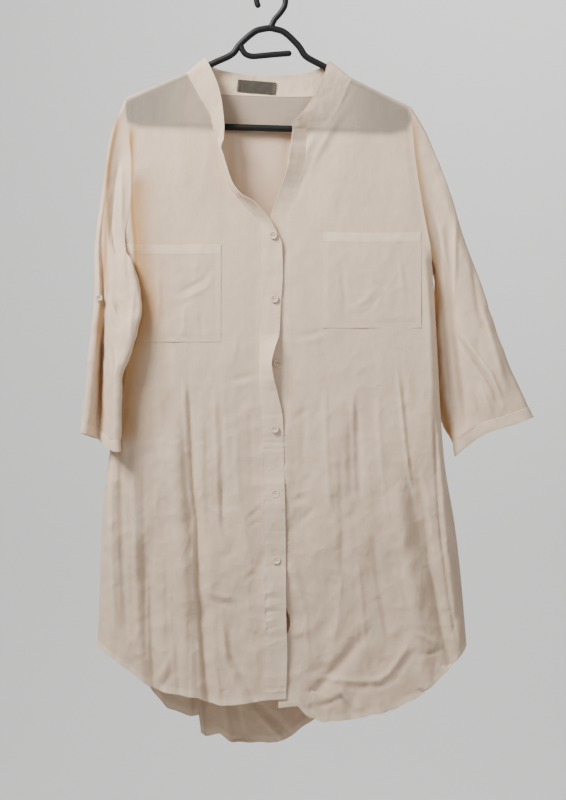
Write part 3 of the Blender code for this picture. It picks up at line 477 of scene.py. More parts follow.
# The folds of each face. The line runs from x_top, z_top to x_end, z_end, rise is how far
# it stands out (a trough is negative), and width is where it has fallen to a third.
Fold = namedtuple("Fold", "x_top z_top x_end z_end rise width")
RIGHT_FRONT_FOLDS = (
    Fold(-116, -560, -84, -1000, -7.0, 10.0),
    Fold(-134, -590, -106, -1000, 4.5, 12.0),
    Fold(-172, -740, -156, -980, -6.0, 10.0),
    Fold(-70, -640, -64, -760, -3.5, 9.0),
    Fold(-141, -790, -139, -880, -3.0, 8.0),
)
LEFT_FRONT_FOLDS = (
    Fold(185, -650, 246, -930, -8.0, 12.0),
    Fold(165, -650, 214, -960, 5.0, 13.0),
    Fold(112, -560, 116, -720, -4.0, 10.0),
    Fold(150, -860, 60, -965, -5.0, 11.0),
    Fold(106, -150, 12, -312, 5.0, 9.0),
    Fold(68, -206, 16, -302, -5.0, 12.0),
)
BACK_FOLDS = (
    Fold(-95, -300, -110, -1020, -6.0, 14.0),
    Fold(60, -280, 84, -1000, -6.0, 14.0),
    Fold(-20, -420, -40, -1040, 5.0, 16.0),
    Fold(150, -520, 190, -970, -6.0, 13.0),
    Fold(-175, -560, -200, -930, -5.0, 12.0),
)
FOLD_FADE = 70.0

# Folds that end below this height run off the hem instead of fading
OPEN_HEM = -900.0

# The heights that the hem's x is judged at: by the side seams, and across a panel
SIDE_HEM = -903.0
PANEL_HEM = -960.0

# The steps across a panel's shoulder
SHOULDER_STEPS = (0.0, 0.3, 0.65, 1.0)

# The steps down a panel: over the shoulder, down the armhole, then to the hem
ARMHOLE_STEPS = (0.10, 0.24, 0.40, 0.56, 0.72, 0.859, 0.930, 0.981, 1.0)
BODY_STEPS = (0.045, 0.11, 0.19, 0.27, 0.35, 0.43, 0.52, 0.61, 0.70, 0.79, 0.87, 0.94, 1.0)
UNDERARM_ROW = len(ROUND_STEPS) + len(ARMHOLE_STEPS) - 1

# The sleeves below the armhole: a ring's cloth lies flat along the line through its four
# points, outer edge to inner edge. half is how far it stands on each side of that line,
# and pinch how far at the crease.
Ring = namedtuple("Ring", "outer crease front inner half pinch")
RIGHT_SLEEVE = (
    Ring((-221, -4, -207), (-210, -1, -250), (-218, -13, -347), (-193, -25, -374), 5.5, 4.5),
    Ring((-230, -8, -276), (-225, -10, -310), (-216, -19, -369), (-181, -31, -400), 7.5, 7.5),
    Ring((-239, -19, -351), (-230, -17, -375), (-206, -30, -441), (-175, -37, -441), 5.5, 2.7),
    Ring((-239, -30, -426), (-226, -24, -444), (-208, -37, -477), (-188, -43, -500), 7.5, 2.2),
    Ring((-243.7, -34, -490), (-231, -10, -508), (-214, -36, -532), (-204, -54, -542), 6.0, 2.0),
    Ring((-249, -36, -550), (-234, -10, -562), (-214, -35, -582), (-205, -53, -592), 6.0, 2.0),
    Ring((-254.6, -36, -597), (-236, -11, -606), (-217, -33, -616), (-206, -51, -621), 6.0, 2.5),
)
RIGHT_CUFF_END = Ring(
    (-256.5, -36, -612), (-236, -11, -621), (-217, -33, -632), (-205.5, -51, -637), 6.0, 3.0
)
LEFT_SLEEVE = (
    Ring((219.4, 0, -215), (222, -3, -275), (231, 0, -358), (223.5, 5, -391), 8.0, 7.0),
    Ring((241.9, 0, -275), (240, -5, -330), (241, 3, -400), (226, 17, -427), 8.5, 7.0),
    Ring((260.7, 0, -340), (256, -8, -385), (247, 7, -444), (223, 25, -466), 8.5, 7.0),
    Ring((285.7, 0, -405), (274, -9, -442), (255, 5, -490), (226, 25, -515), 9.0, 7.0),
    Ring((305.4, 0, -465), (290, -9, -492), (264, 4, -532), (230, 24, -562), 9.5, 7.0),
    Ring((328.9, 0, -525), (309, -8, -546), (274, 4, -580), (239, 17, -603), 10.0, 7.5),
    Ring((353.0, 0, -577), (330, -6, -584), (290, 2, -598), (251, 5, -628), 10.5, 8.0),
)
LEFT_CUFF_END = Ring((359, 0, -591), (338, -6, -599), (292, 2, -615), (253, 4, -645), 10.5, 8.0)
SPINE_SAMPLES = 48
CREASE_REACH = 24.0

# The collar's free edge. place counts along its seam: 0 and 6 are the two ends, 1 and 5 the
# plackets' seams, 2 and 4 the neck points and 3 the middle of the back.
CollarEdge = namedtuple("CollarEdge", "place x y z bow")
COLLAR_EDGE = (
    CollarEdge(0.0, -66.0, -31.0, -213.0, 0.0),
    CollarEdge(1.0, -64.0, -25.0, -194.0, 1.5),
    CollarEdge(1.35, -66.0, -21.0, -168.0, 3.0),
    CollarEdge(1.7, -73.5, -16.5, -132.0, 2.5),
    CollarEdge(1.9, -84.0, -12.0, -109.0, 1.0),
    CollarEdge(1.96, -88.5, -7.5, -101.0, 0.5),
    CollarEdge(2.0, -90.4, 0.0, -97.0, 0.0),
    CollarEdge(2.04, -88.5, 7.0, -99.5, 0.5),
    CollarEdge(2.12, -84.0, 10.5, -104.0, 1.0),
    CollarEdge(2.3, -72.0, 11.5, -111.0, 1.5),
    CollarEdge(2.65, -38.0, 12.0, -117.0, 1.5),
    CollarEdge(3.0, 0.0, 12.5, -119.0, 1.5),
    CollarEdge(3.35, 36.0, 12.0, -117.5, 1.5),
    CollarEdge(3.7, 62.0, 11.5, -111.5, 1.5),
    CollarEdge(3.88, 73.5, 10.5, -105.5, 1.0),
    CollarEdge(3.96, 78.0, 7.0, -101.5, 0.5),
    CollarEdge(4.0, 79.8, 0.0, -100.5, 0.0),
    CollarEdge(4.04, 78.0, -7.0, -105.0, 0.5),
    CollarEdge(4.12, 74.0, -12.0, -118.0, 1.0),
    CollarEdge(4.35, 63.0, -14.0, -143.0, 1.5),
    CollarEdge(4.7, 49.0, -14.5, -165.5, 1.5),
    CollarEdge(5.0, 39.0, -15.0, -178.5, 1.0),
    CollarEdge(6.0, 28.5, -17.0, -189.0, 0.0),
)
COLLAR_ACROSS = (0.0, 0.35, 0.7, 1.0)
COLLAR_CENTRE = (0.0, 0.0, -175.0)

# The collar is this many times as wide as it is deep, so its bow points this much sideways
COLLAR_FLATNESS = 6.0

# The patch pockets: x of both sides, z of top and bottom
Patch = namedtuple("Patch", "x_start x_end z_top z_bottom")
RIGHT_POCKET = Patch(-199.0, -68.5, -354.0, -487.5)
LEFT_POCKET = Patch(71.2, 204.5, -337.5, -468.5)

# How far a pocket's top sags, how far it stands off its panel, and how far it bulges
POCKET_SAG = 1.0
POCKET_STAND = 0.75
POCKET_BULGE = 0.7
POCKET_PUFF = 0.15

# A pocket is held down by its stitches this far in, then free, and its rim is paler doubled
# cloth with a painted highlight
POCKET_SEWN = 2.0
POCKET_FREE = 10.0
POCKET_RIM_TONE = 0.8
POCKET_RIM_WIDTH = 1.6

NECK_LABEL = Patch(-46.5, 6.5, -127.0, -144.5)
LABEL_TILT = math.radians(4.5)

# The back's hem where its folds fall, below the fronts: x, z
BACK_HEM_STEPS = (
    (-238.5, -903), (-220, -909), (-200, -924), (-182, -945), (-165, -969), (-144, -994),
    (-116, -1003), (-100, -1003), (-97.5, -1028), (-90, -1032), (-71, -1029), (-56, -1041),
    (8, -1042.5), (13, -1040), (30, -1032), (45, -1018), (67, -1004), (98, -997), (137, -988),
    (177, -975), (203, -959), (226, -939), (253, -914), (268.5, -903),
)

# Smaller creases, laid over the folds: rise, how wide each is on either side of its path,
# and the path, x and z from its top. Each fades out towards its ends, over CREASE_FADE or at
# most this part of its length, and the deepest has the full strength of the painted shade in
# troughs and the painted highlight on crests.
CREASE_FADE = 42.0
LONGEST_FADE = 0.45
DEEPEST_CREASE = 2.6
Crease = namedtuple("Crease", "rise left right path")
RIGHT_FRONT_CREASES = (
    Crease(2.0, 3.5, 2.2, ((-119, -526), (-116, -595), (-114, -629), (-111, -689), (-105, -730),
                           (-105, -811), (-99, -893), (-94, -969), (-90, -1040))),
    Crease(-1.9, 2.0, 3.5, ((-113, -533), (-110, -608), (-107, -689), (-101, -730), (-101, -811),
                            (-95, -893), (-88, -969), (-85, -1040))),
    Crease(1.3, 2.2, 2.2, ((-102, -711), (-96, -696), (-88, -685))),
    Crease(1.5, 2.6, 2.2, ((-77, -547), (-77, -588), (-75, -622), (-72, -730), (-65, -769))),
    Crease(-1.6, 2.0, 4, ((-71, -551), (-68, -622), (-66, -730), (-59, -770))),
    Crease(-1.5, 2, 3, ((-37, -736), (-23, -721), (-10, -708))),
    Crease(-1.3, 2, 2.5, ((-34, -744), (-21, -734), (-7, -729))),
    Crease(1.0, 2, 2, ((-36, -727), (-22, -714), (-10, -700))),
    Crease(-1.4, 2.5, 2.5, ((-42, -819), (-30, -808), (-19, -799))),
    Crease(1.1, 2, 2, ((-44, -811), (-32, -800), (-21, -790))),
    Crease(-1.5, 5, 7, ((-75, -792), (-56, -773), (-34, -762))),
    Crease(-1.6, 3, 4, ((-93, -837), (-70, -843), (-34, -847))),
    Crease(1.3, 2.5, 2.5, ((-93, -827), (-67, -833), (-37, -837))),
    Crease(-2.8, 3, 5, ((-62, -849), (-58, -882), (-55, -914), (-42, -944), (-27, -971),
                        (-12, -1040))),
    Crease(2.2, 4, 2.5, ((-68, -852), (-64, -889), (-62, -917), (-51, -947), (-37, -974),
                         (-21, -1040))),
    Crease(-1.6, 2.5, 3, ((-129, -877), (-127, -917), (-125, -999))),
    Crease(1.3, 2.5, 2.5, ((-134, -880), (-133, -917), (-132, -954))),
    Crease(-2.6, 4, 5, ((-122, -910), (-137, -940), (-155, -962), (-179, -995))),
    Crease(1.7, 3, 3, ((-130, -903), (-145, -934), (-166, -956))),
    Crease(-1.2, 1.8, 2.4, ((-142, -775), (-142, -841), (-141, -907))),
    Crease(0.9, 1.8, 1.8, ((-138, -777), (-138, -841), (-136, -904))),
    Crease(-1.2, 1.8, 2.6, ((-164, -777), (-164, -855), (-159, -999))),
    Crease(0.9, 1.8, 1.8, ((-169, -780), (-169, -855), (-166, -952))),
    Crease(2.0, 6, 5, ((-219, -643), (-218, -759), (-215, -841), (-212, -903))),
    Crease(-2.3, 4, 4, ((-206, -622), (-203, -759), (-197, -903))),
    Crease(1.8, 5, 5, ((-188, -608), (-185, -759), (-179, -923))),
    Crease(-1.4, 3, 4, ((-175, -649), (-173, -786), (-170, -930))),
    Crease(-1.0, 3, 4, ((-67, -543), (-37, -536), (-7, -530))),
    Crease(0.9, 4, 3, ((-64, -551), (-36, -544), (-10, -540))),
    Crease(0.9, 3, 3, ((-45, -464), (-49, -499), (-53, -526))),
    Crease(0.6, 16, 16, ((-138, -142), (-125, -225), (-116, -314))),
    Crease(-0.6, 14, 14, ((-77, -184), (-67, -279), (-56, -375))),
    Crease(0.8, 6, 6, ((-152, -537), (-149, -622), (-145, -732))),
    Crease(-1.2, 4, 6, ((-89, -588), (-89, -677), (-84, -766))),
    Crease(1.0, 4, 4, ((-48, -595), (-47, -663), (-42, -732))),
    Crease(-0.8, 3, 3, ((-29, -567), (-27, -636), (-26, -704))),
    Crease(1.1, 3, 3, ((-81, -896), (-75, -944), (-59, -1040))),
    Crease(-1.2, 3, 3, ((-111, -841), (-112, -910), (-114, -1033))),
)
LEFT_FRONT_CREASES = (
    Crease(1.6, 3, 2.5, ((111, -551), (112, -622), (114, -704))),
    Crease(-1.7, 2.2, 4, ((116, -553), (118, -622), (121, -718))),
    Crease(1.8, 3, 2.2, ((171, -512), (179, -588), (182, -622), (188, -669), (200, -710))),
    Crease(-1.0, 2.2, 4, ((178, -526), (185, -601), (189, -649), (196, -690))),
    Crease(-2.6, 4, 3, ((196, -649), (203, -690), (210, -730), (215, -785), (229, -866),
                        (240, -917))),
    Crease(1.4, 2.4, 5, ((206, -663), (215, -730), (222, -785), (236, -866), (247, -917))),
    Crease(-2.4, 2.2, 2.4, ((222, -581), (225, -663), (228, -717), (232, -759), (242, -838),
                            (255, -910))),
    Crease(1.6, 2.6, 5, ((228, -588), (232, -663), (236, -732), (241, -796), (253, -875))),
    Crease(2.4, 3.5, 3, ((190, -877), (215, -892), (242, -906))),
    Crease(-2.5, 3, 4, ((195, -914), (218, -911), (240, -906))),
    Crease(2.4, 4, 3, ((41, -948), (74, -944), (99, -947), (123, -949), (147, -947), (160, -938),
                       (177, -914), (196, -882))),
    Crease(-2.0, 3, 7, ((95, -956), (123, -959), (151, -956), (169, -947), (186, -921),
                        (203, -893))),
    Crease(-2.0, 4, 4, ((44, -938), (64, -934), (85, -923))),
    Crease(2.2, 3.5, 3, ((40, -977), (60, -975), (79, -971), (96, -962), (112, -982), (136, -988))),
    Crease(-2.2, 3, 5, ((33, -989), (64, -984), (82, -978), (96, -971), (111, -992), (141, -1000))),
    Crease(1.1, 2, 2, ((23, -697), (38, -693), (55, -690))),
    Crease(-1.3, 2, 2.5, ((23, -706), (40, -701), (55, -700))),
    Crease(1.1, 2, 2, ((25, -715), (40, -711), (53, -708))),
    Crease(-1.4, 2.2, 3, ((33, -738), (47, -725), (63, -708))),
    Crease(1.1, 2.2, 2.2, ((38, -745), (52, -732), (67, -717))),
    Crease(-1.7, 8, 9, ((63, -849), (67, -903), (64, -945))),
    Crease(1.3, 4, 4, ((47, -836), (49, -896), (48, -937))),
    Crease(-0.9, 3, 3, ((26, -482), (53, -477), (84, -470))),
    Crease(0.8, 3, 3, ((27, -490), (55, -485), (81, -480))),
    Crease(0.7, 2.5, 2.5, ((21, -538), (48, -538))),
    Crease(-1.3, 4, 4, ((22, -600), (40, -586), (59, -574))),
    Crease(-2.4, 4, 5, ((114, -123), (101, -149), (81, -186), (59, -227), (40, -271), (26, -310))),
    Crease(2.2, 5, 4, ((101, -121), (89, -149), (68, -186), (48, -227), (30, -266), (19, -300))),
    Crease(-1.4, 3, 3, ((92, -134), (75, -163), (56, -195), (40, -225), (25, -255))),
    Crease(0.8, 15, 15, ((100, -170), (88, -252), (70, -348))),
    Crease(-0.6, 15, 15, ((142, -156), (138, -225), (130, -327))),
    Crease(-1.1, 5, 5, ((45, -553), (44, -608), (41, -677))),
    Crease(1.2, 4, 4, ((73, -540), (75, -622), (79, -732))),
    Crease(-1.3, 4, 5, ((93, -622), (96, -718), (99, -827))),
    Crease(1.4, 4, 4, ((144, -547), (149, -636), (159, -752))),
    Crease(-1.5, 3, 5, ((136, -732), (147, -827), (160, -903))),
    Crease(1.3, 3, 3, ((116, -759), (123, -841), (130, -923))),
    Crease(-1.1, 3, 4, ((171, -759), (179, -827), (193, -875))),
    Crease(1.0, 4, 4, ((210, -348), (218, -471), (221, -588))),
)
BACK_CREASES = (
    Crease(-2.2, 5, 6, ((-152, -499), (-166, -704), (-179, -896), (-186, -978))),
    Crease(1.6, 6, 5, ((-136, -540), (-147, -732), (-155, -896), (-152, -978))),
    Crease(-3.0, 3, 4, ((-108, -896), (-110, -964), (-110, -1060))),
    Crease(2.4, 3, 3, ((-101, -896), (-101, -964), (-101, -1060))),
    Crease(-3.2, 3, 4, ((-93, -910), (-95, -978), (-89, -1081))),
    Crease(1.8, 4, 4, ((-81, -896), (-79, -978), (-75, -1081))),
    Crease(-3.0, 4, 5, ((-68, -896), (-63, -985), (-44, -1081))),
    Crease(2.4, 4, 4, ((-58, -896), (-48, -982), (-26, -1081))),
    Crease(-2.4, 3, 4, ((-33, -986), (-12, -1008), (40, -1060))),
    Crease(1.8, 3, 3, ((-23, -981), (-3, -1000), (51, -1049))),
    Crease(1.6, 7, 7, ((-12, -293), (-18, -567), (-29, -841), (-32, -978))),
    Crease(-2.4, 5, 6, ((40, -266), (51, -512), (56, -786), (45, -1040))),
    Crease(1.8, 5, 5, ((81, -321), (92, -567), (101, -841), (108, -1012))),
    Crease(-2.0, 5, 6, ((138, -430), (149, -677), (174, -992))),
    Crease(1.8, 5, 5, ((174, -540), (190, -759), (218, -971))),
    Crease(-1.5, 5, 5, ((-53, -184), (-45, -348), (-48, -595))),
    Crease(1.3, 6, 6, ((26, -170), (21, -293), (18, -471))),
    Crease(-1.2, 4, 4, ((-125, -184), (-138, -321), (-141, -458))),
    Crease(1.2, 5, 5, ((122, -170), (133, -321), (136, -458))),
    Crease(-1.6, 4, 4, ((-97, -841), (-42, -858), (26, -849))),
    Crease(1.4, 4, 4, ((67, -896), (122, -910), (177, -896))),
)
RIGHT_SLEEVE_CREASES = (
    Crease(1.8, 3, 3, ((-206, -225), (-204, -279), (-204, -348))),
    Crease(-1.8, 2.5, 3, ((-197, -355), (-195, -389), (-190, -422))),
    Crease(2.6, 3, 3.5, ((-184, -404), (-188, -444), (-192, -496))),
    Crease(-1.8, 2.5, 2.5, ((-212, -429), (-206, -447), (-196, -456))),
    Crease(1.5, 2, 2, ((-216, -437), (-208, -455), (-200, -467))),
    Crease(-1.5, 2, 2, ((-218, -456), (-210, -469), (-200, -475))),
    Crease(1.5, 2, 2, ((-211, -419), (-204, -430), (-197, -437))),
    Crease(-2.3, 3, 3, ((-218, -482), (-212, -526), (-216, -571))),
    Crease(2.0, 3, 3, ((-210, -489), (-206, -519), (-219, -559))),
    Crease(-1.6, 2.5, 3, ((-223, -362), (-221, -416), (-226, -471))),
    Crease(1.6, 2.5, 2.5, ((-229, -492), (-226, -533), (-229, -578))),
)
LEFT_SLEEVE_CREASES = (
    Crease(-3.0, 4, 5, ((240, -314), (244, -403), (249, -473), (259, -540), (267, -608))),
    Crease(2.4, 3.5, 3.5, ((252, -307), (251, -389), (249, -449))),
    Crease(-3.2, 2.5, 4, ((249, -473), (273, -506), (295, -538), (306, -560), (316, -589))),
    Crease(3.0, 4, 2.5, ((255, -467), (278, -499), (301, -532), (323, -582))),
    Crease(2.4, 4, 4, ((232, -423), (237, -512), (248, -608))),
    Crease(-2.2, 4, 4, ((273, -369), (284, -444), (303, -501))),
    Crease(2.4, 5, 5, ((282, -423), (303, -492), (326, -567))),
    Crease(-2.3, 3, 3, ((274, -548), (284, -578), (293, -603))),
    Crease(2.0, 3, 3, ((284, -543), (297, -574), (307, -600))),
    Crease(-2.0, 3, 3, ((249, -470), (256, -529), (266, -589))),
)
RIGHT_POCKET_CREASES = (
    Crease(-1.2, 3, 4, ((-140, -429), (-115, -416), (-93, -404), (-77, -379))),
    Crease(1.1, 4, 3, ((-137, -437), (-112, -425), (-89, -414), (-74, -390))),
    Crease(0.9, 3, 3, ((-118, -430), (-119, -485))),
    Crease(-0.8, 3, 3, ((-97, -444), (-93, -488))),
    Crease(0.8, 3, 3, ((-155, -378), (-152, -430), (-155, -478))),
)
LEFT_POCKET_CREASES = (
    Crease(-1.0, 3, 3, ((95, -375), (101, -430), (99, -463))),
    Crease(1.1, 4, 4, ((147, -407), (130, -430), (105, -445))),
    Crease(-0.9, 3, 3, ((152, -416), (138, -440), (116, -455))),
    Crease(0.9, 3, 3, ((174, -362), (182, -433))),
    Crease(-0.7, 3, 3, ((136, -404), (160, -416))),
)
PLACKET_CREASES = (
    Crease(0.8, 2.5, 2.0, ((-29, -841), (-12, -830), (4, -827), (21, -827))),
    Crease(-0.8, 2.0, 3.0, ((-29, -849), (-12, -838), (4, -836), (21, -836))),
    Crease(0.8, 2.5, 2.0, ((-27, -863), (-10, -848), (7, -844), (22, -845))),
    Crease(-0.8, 2.0, 3.0, ((-27, -871), (-10, -856), (7, -854), (22, -855))),
    Crease(0.8, 2.5, 2.0, ((-26, -885), (-8, -869), (8, -863), (23, -866))),
    Crease(-0.9, 2.0, 3.0, ((-25, -896), (-7, -880), (10, -874), (23, -877))),
    Crease(0.8, 3.0, 2.0, ((-21, -918), (-4, -900), (12, -893), (25, -896))),
    Crease(0.6, 3.0, 3.0, ((-23, -704), (-10, -696), (4, -693))),
    Crease(-0.6, 3.0, 3.0, ((-23, -715), (-10, -707), (7, -704))),
    Crease(0.5, 3.0, 3.0, ((-22, -770), (-7, -763), (10, -763))),
)

# Painted glow: a warm colour that stands in for the light bounced between two layers, where
# one lies close over another
Glow = namedtuple("Glow", "strength left right path")
RIGHT_FRONT_GLOW = (
    Glow(1.0, 3, 5, ((-192, -181), (-192, -225), (-192, -266), (-190, -307), (-186, -348),
                     (-184, -392), (-175, -427), (-177, -460), (-186, -488), (-197, -515),
                     (-206, -567), (-207, -656))),
    Glow(0.75, 3, 21, ((-189, -245), (-188, -300), (-184, -348), (-178, -396), (-170, -437),
                       (-177, -471), (-190, -499), (-199, -567), (-201, -636))),
)
LEFT_SLEEVE_GLOW = (
    Glow(0.85, 4, 6, ((193, -169), (197, -232), (204, -286), (211, -327), (216, -355),
                      (225, -396), (228, -430), (227, -471), (229, -515), (233, -562),
                      (242, -603), (253, -636))),
)
RIGHT_SLEEVE_GLOW = (
    Glow(0.8, 4, 3, ((-206, -156), (-222, -248), (-225, -347), (-227, -410), (-234, -485),
                     (-233, -547), (-230, -608))),
)
LEFT_FRONT_GLOW = (
    Glow(0.45, 2, 5, ((18, -485), (18, -540), (16, -608))),
    Glow(0.5, 3, 7, ((22, -841), (26, -896), (27, -964))),
)


def curve_through(rows):
    """Return a function through (key, value) rows that never overshoots them."""
    rows = sorted(rows)
    keys = [row[0] for row in rows]
    values = [row[1] for row in rows]
    steps = [(values[i + 1] - values[i]) / (keys[i + 1] - keys[i]) for i in range(len(rows) - 1)]
    slopes = [steps[0]]
    for before, after in zip(steps, steps[1:]):
        slopes.append(2 * before * after / (before + after) if before * after > 0 else 0.0)
    slopes.append(steps[-1])

    def value(key):
        if key <= keys[0]:
            return values[0]
        if key >= keys[-1]:
            return values[-1]
        i = bisect_right(keys, key) - 1
        span = keys[i + 1] - keys[i]
        t = (key - keys[i]) / span
        start = (1 + 2 * t) * (1 - t) ** 2 * values[i] + t * (1 - t) ** 2 * span * slopes[i]
        end = t * t * (3 - 2 * t) * values[i + 1] + t * t * (t - 1) * span * slopes[i + 1]
        return start + end

    return value


def path_through(points, counts):
    """Return points along a smooth path through points, counts[i] steps after the i-th."""
    path = []
    for i, count in enumerate(counts):
        here, after = points[i], points[i + 1]
        before = points[i - 1] if i > 0 else here * 2 - after
        beyond = points[i + 2] if i + 2 < len(points) else after * 2 - here
        for step in range(count):
            t = step / count
            path.append(0.5 * (2 * here + (after - before) * t
                               + (2 * before - 5 * here + 4 * after - beyond) * t * t
                               + (3 * here - before - 3 * after + beyond) * t ** 3))
    path.append(points[len(counts)])
    return path


def lerp(start, end, t):
    """Return the value t of the way from start to end."""
    return start + (end - start) * t


def smooth_step(t):
    """Return 0 to 1, with no slope at either end."""
    t = min(max(t, 0.0), 1.0)
    return t * t * (3 - 2 * t)


def round_off(distance, radius):
    """Return 0 at a rounded edge and 1 from radius inwards, along a quarter circle."""
    t = 1 - min(max(distance / radius, 0.0), 1.0)
    return math.sqrt(1 - t * t)


def tilted(x, z):
    """Return the place of a hanger point once the hanger hangs askew."""
    cosine, sine = math.cos(HANGER_TILT), math.sin(HANGER_TILT)
    return Vector((x * cosine + z * sine, 0, z * cosine - x * sine))


def shoulder_line(mirror):
    """Return the slope and a point of the cloth's ridge over one arm, mirror -1 or 1."""
    inner = tilted(mirror * ARM_INNER[0], ARM_INNER[1])
    outer = tilted(mirror * ARM_OUTER[0], ARM_OUTER[1])
    along = (outer - inner).normalized()
    upward = Vector((-along.z, 0, along.x))
    if upward.z < 0:
        upward = -upward
    return along.z / along.x, inner + upward * SHOULDER_ROUND


RIGHT_SLOPE, RIGHT_RIDGE = shoulder_line(-1)
LEFT_SLOPE, LEFT_RIDGE = shoulder_line(1)


def ridge(x):
    """Return the height of the shoulders' ridge, carried straight up over the neck."""
    right = RIGHT_RIDGE.z + (x - RIGHT_RIDGE.x) * RIGHT_SLOPE
    left = LEFT_RIDGE.z + (x - LEFT_RIDGE.x) * LEFT_SLOPE
    return min(right, left)


side_of_right = curve_through(RIGHT_SIDE)
side_of_left = curve_through(LEFT_SIDE)
side_round = curve_through(SIDE_ROUND)
fullness = {-1: curve_through(FRONT_FULLNESS), 1: curve_through(BACK_FULLNESS)}


def underarm_opening(z, underarm):
    """Return 1 where the armhole is open, falling to 0 at the underarm and below."""
    return round_off(z - underarm, UNDERARM_ROUND)


def fold_height(folds, x, z):
    """Return how far the folds lift the face at x, z."""
    total = 0.0
    for fold in folds:
        if not fold.z_end < z < fold.z_top:
            continue
        t = (fold.z_top - z) / (fold.z_top - fold.z_end)
        middle = lerp(fold.x_top, fold.x_end, t)
        fade = smooth_step((fold.z_top - z) / FOLD_FADE)
        if fold.z_end > OPEN_HEM:
            fade *= smooth_step((z - fold.z_end) / FOLD_FADE)
        total += fold.rise * fade * math.exp(-((x - middle) / fold.width) ** 2)
    return total


def body_depth(x, z, face, folds=()):
    """Return how far the body's outer face is from the hanger's plane; face is -1 or 1."""
    slope = RIGHT_SLOPE if x < 0 else LEFT_SLOPE
    below = max(ridge(x) - z, 0.0) / math.hypot(1, slope)
    depth = SHOULDER_ROUND * round_off(below, SHOULDER_ROUND)
    depth += fullness[face](z) * smooth_step(below / FULLNESS_REACH)
    depth += fold_height(folds, x, z)
    if x < 0:
        inwards, opening = x - side_of_right(z), underarm_opening(z, UNDERARM_RIGHT)
    else:
        inwards, opening = side_of_left(z) - x, underarm_opening(z, UNDERARM_LEFT)
    return depth * (opening + (1 - opening) * round_off(inwards, side_round(z)))


def right_front(x, z):
    """Return y of the right front's outer face."""
    return -body_depth(x, z, -1, RIGHT_FRONT_FOLDS)


seam_of_top = curve_through([(row.seam_z, row.seam_x) for row in TOP_PLACKET])
seam_of_under = curve_through([(row.seam_z, row.seam_x) for row in UNDER_PLACKET])


def left_front(x, z):
    """Return y of the left front's outer face, which passes under the right one."""
    lap = 1 - smooth_step((x - seam_of_under(z)) / LAP_REACH)
    return -body_depth(x, z, -1, LEFT_FRONT_FOLDS) + LAP_DEPTH * lap


def back_face(x, z):
    """Return y of the back's outer face."""
    return body_depth(x, z, 1, BACK_FOLDS)


def column_heights(top, underarm, hem):
    """Return the heights of a column's points, from its top to the hem."""
    heights = [top - SHOULDER_REACH * step for step in ROUND_STEPS]
    shoulder = heights[-1]
    heights += [lerp(shoulder, underarm, step) for step in ARMHOLE_STEPS]
    heights += [lerp(underarm, hem, step) for step in BODY_STEPS]
    return heights


def rounded_neck(neck_point, neck):
    """Return neck seam points with the first stretch divided, as it turns over the arm."""
    first = (neck_point, ridge(neck_point))
    drop = first[1] - neck[0][1]
    parts = [SHOULDER_REACH * step / drop for step in ROUND_STEPS[1:]]
    return [(lerp(first[0], neck[0][0], t), lerp(first[1], neck[0][1], t)) for t in parts] + neck


def ease(z, top, underarm):
    """Return how far a column has moved from its start towards even spacing."""
    return smooth_step((top - z) / (top - underarm))


def side_strip(mirror, hem, underarm):
    """Return the x and z of the columns that turn round a side seam, the seam's own first."""
    side = side_of_right if mirror < 0 else side_of_left
    tip = SHOULDER_TIP_RIGHT if mirror < 0 else SHOULDER_TIP_LEFT
    strip = []
    for step in ROUND_STEPS[:-1]:
        x = tip - mirror * ARMHOLE_ROUND * step
        low = hem(side(SIDE_HEM) - mirror * side_round(SIDE_HEM) * step)
        heights = column_heights(ridge(x), underarm, low)
        strip.append([(side(z) - mirror * side_round(z) * step, z) for z in heights])
    return strip


def panel_column(x, top, start, even, low, underarm, near, far):
    """Return the x and z of a column, which eases from its start to even spacing."""
    column = []
    for z in column_heights(top, underarm, low):
        part = lerp(start, even, ease(z, top, underarm))
        column.append((lerp(near(z), far(z), part), z))
    column[0] = (x, top)
    return column


def placed(columns, face):
    """Return columns of x and z as points on a face."""
    return [[Vector((x, face(x, z), z)) for x, z in column] for column in columns]


def front_columns(mirror, neck, edge, hem, face, underarm):
    """Return a front's columns of outer points, from the side seam to its placket."""
    side = side_of_right if mirror < 0 else side_of_left
    tip = SHOULDER_TIP_RIGHT if mirror < 0 else SHOULDER_TIP_LEFT
    neck_point = NECK_POINT_RIGHT if mirror < 0 else NECK_POINT_LEFT

    def inner_side(z):
        return side(z) - mirror * side_round(z)

    tops = [lerp(tip - mirror * ARMHOLE_ROUND, neck_point, t) for t in SHOULDER_STEPS]
    tops = [(x, ridge(x)) for x in tops] + rounded_neck(neck_point, neck)
    columns = side_strip(mirror, hem, underarm)
    for number, (x, top) in enumerate(tops):
        start = (x - inner_side(top)) / (edge(top) - inner_side(top))
        even = number / (len(tops) - 1)
        low = hem(lerp(inner_side(PANEL_HEM), edge(PANEL_HEM), even))
        columns.append(panel_column(x, top, start, even, low, underarm, inner_side, edge))
    return placed(columns, face)


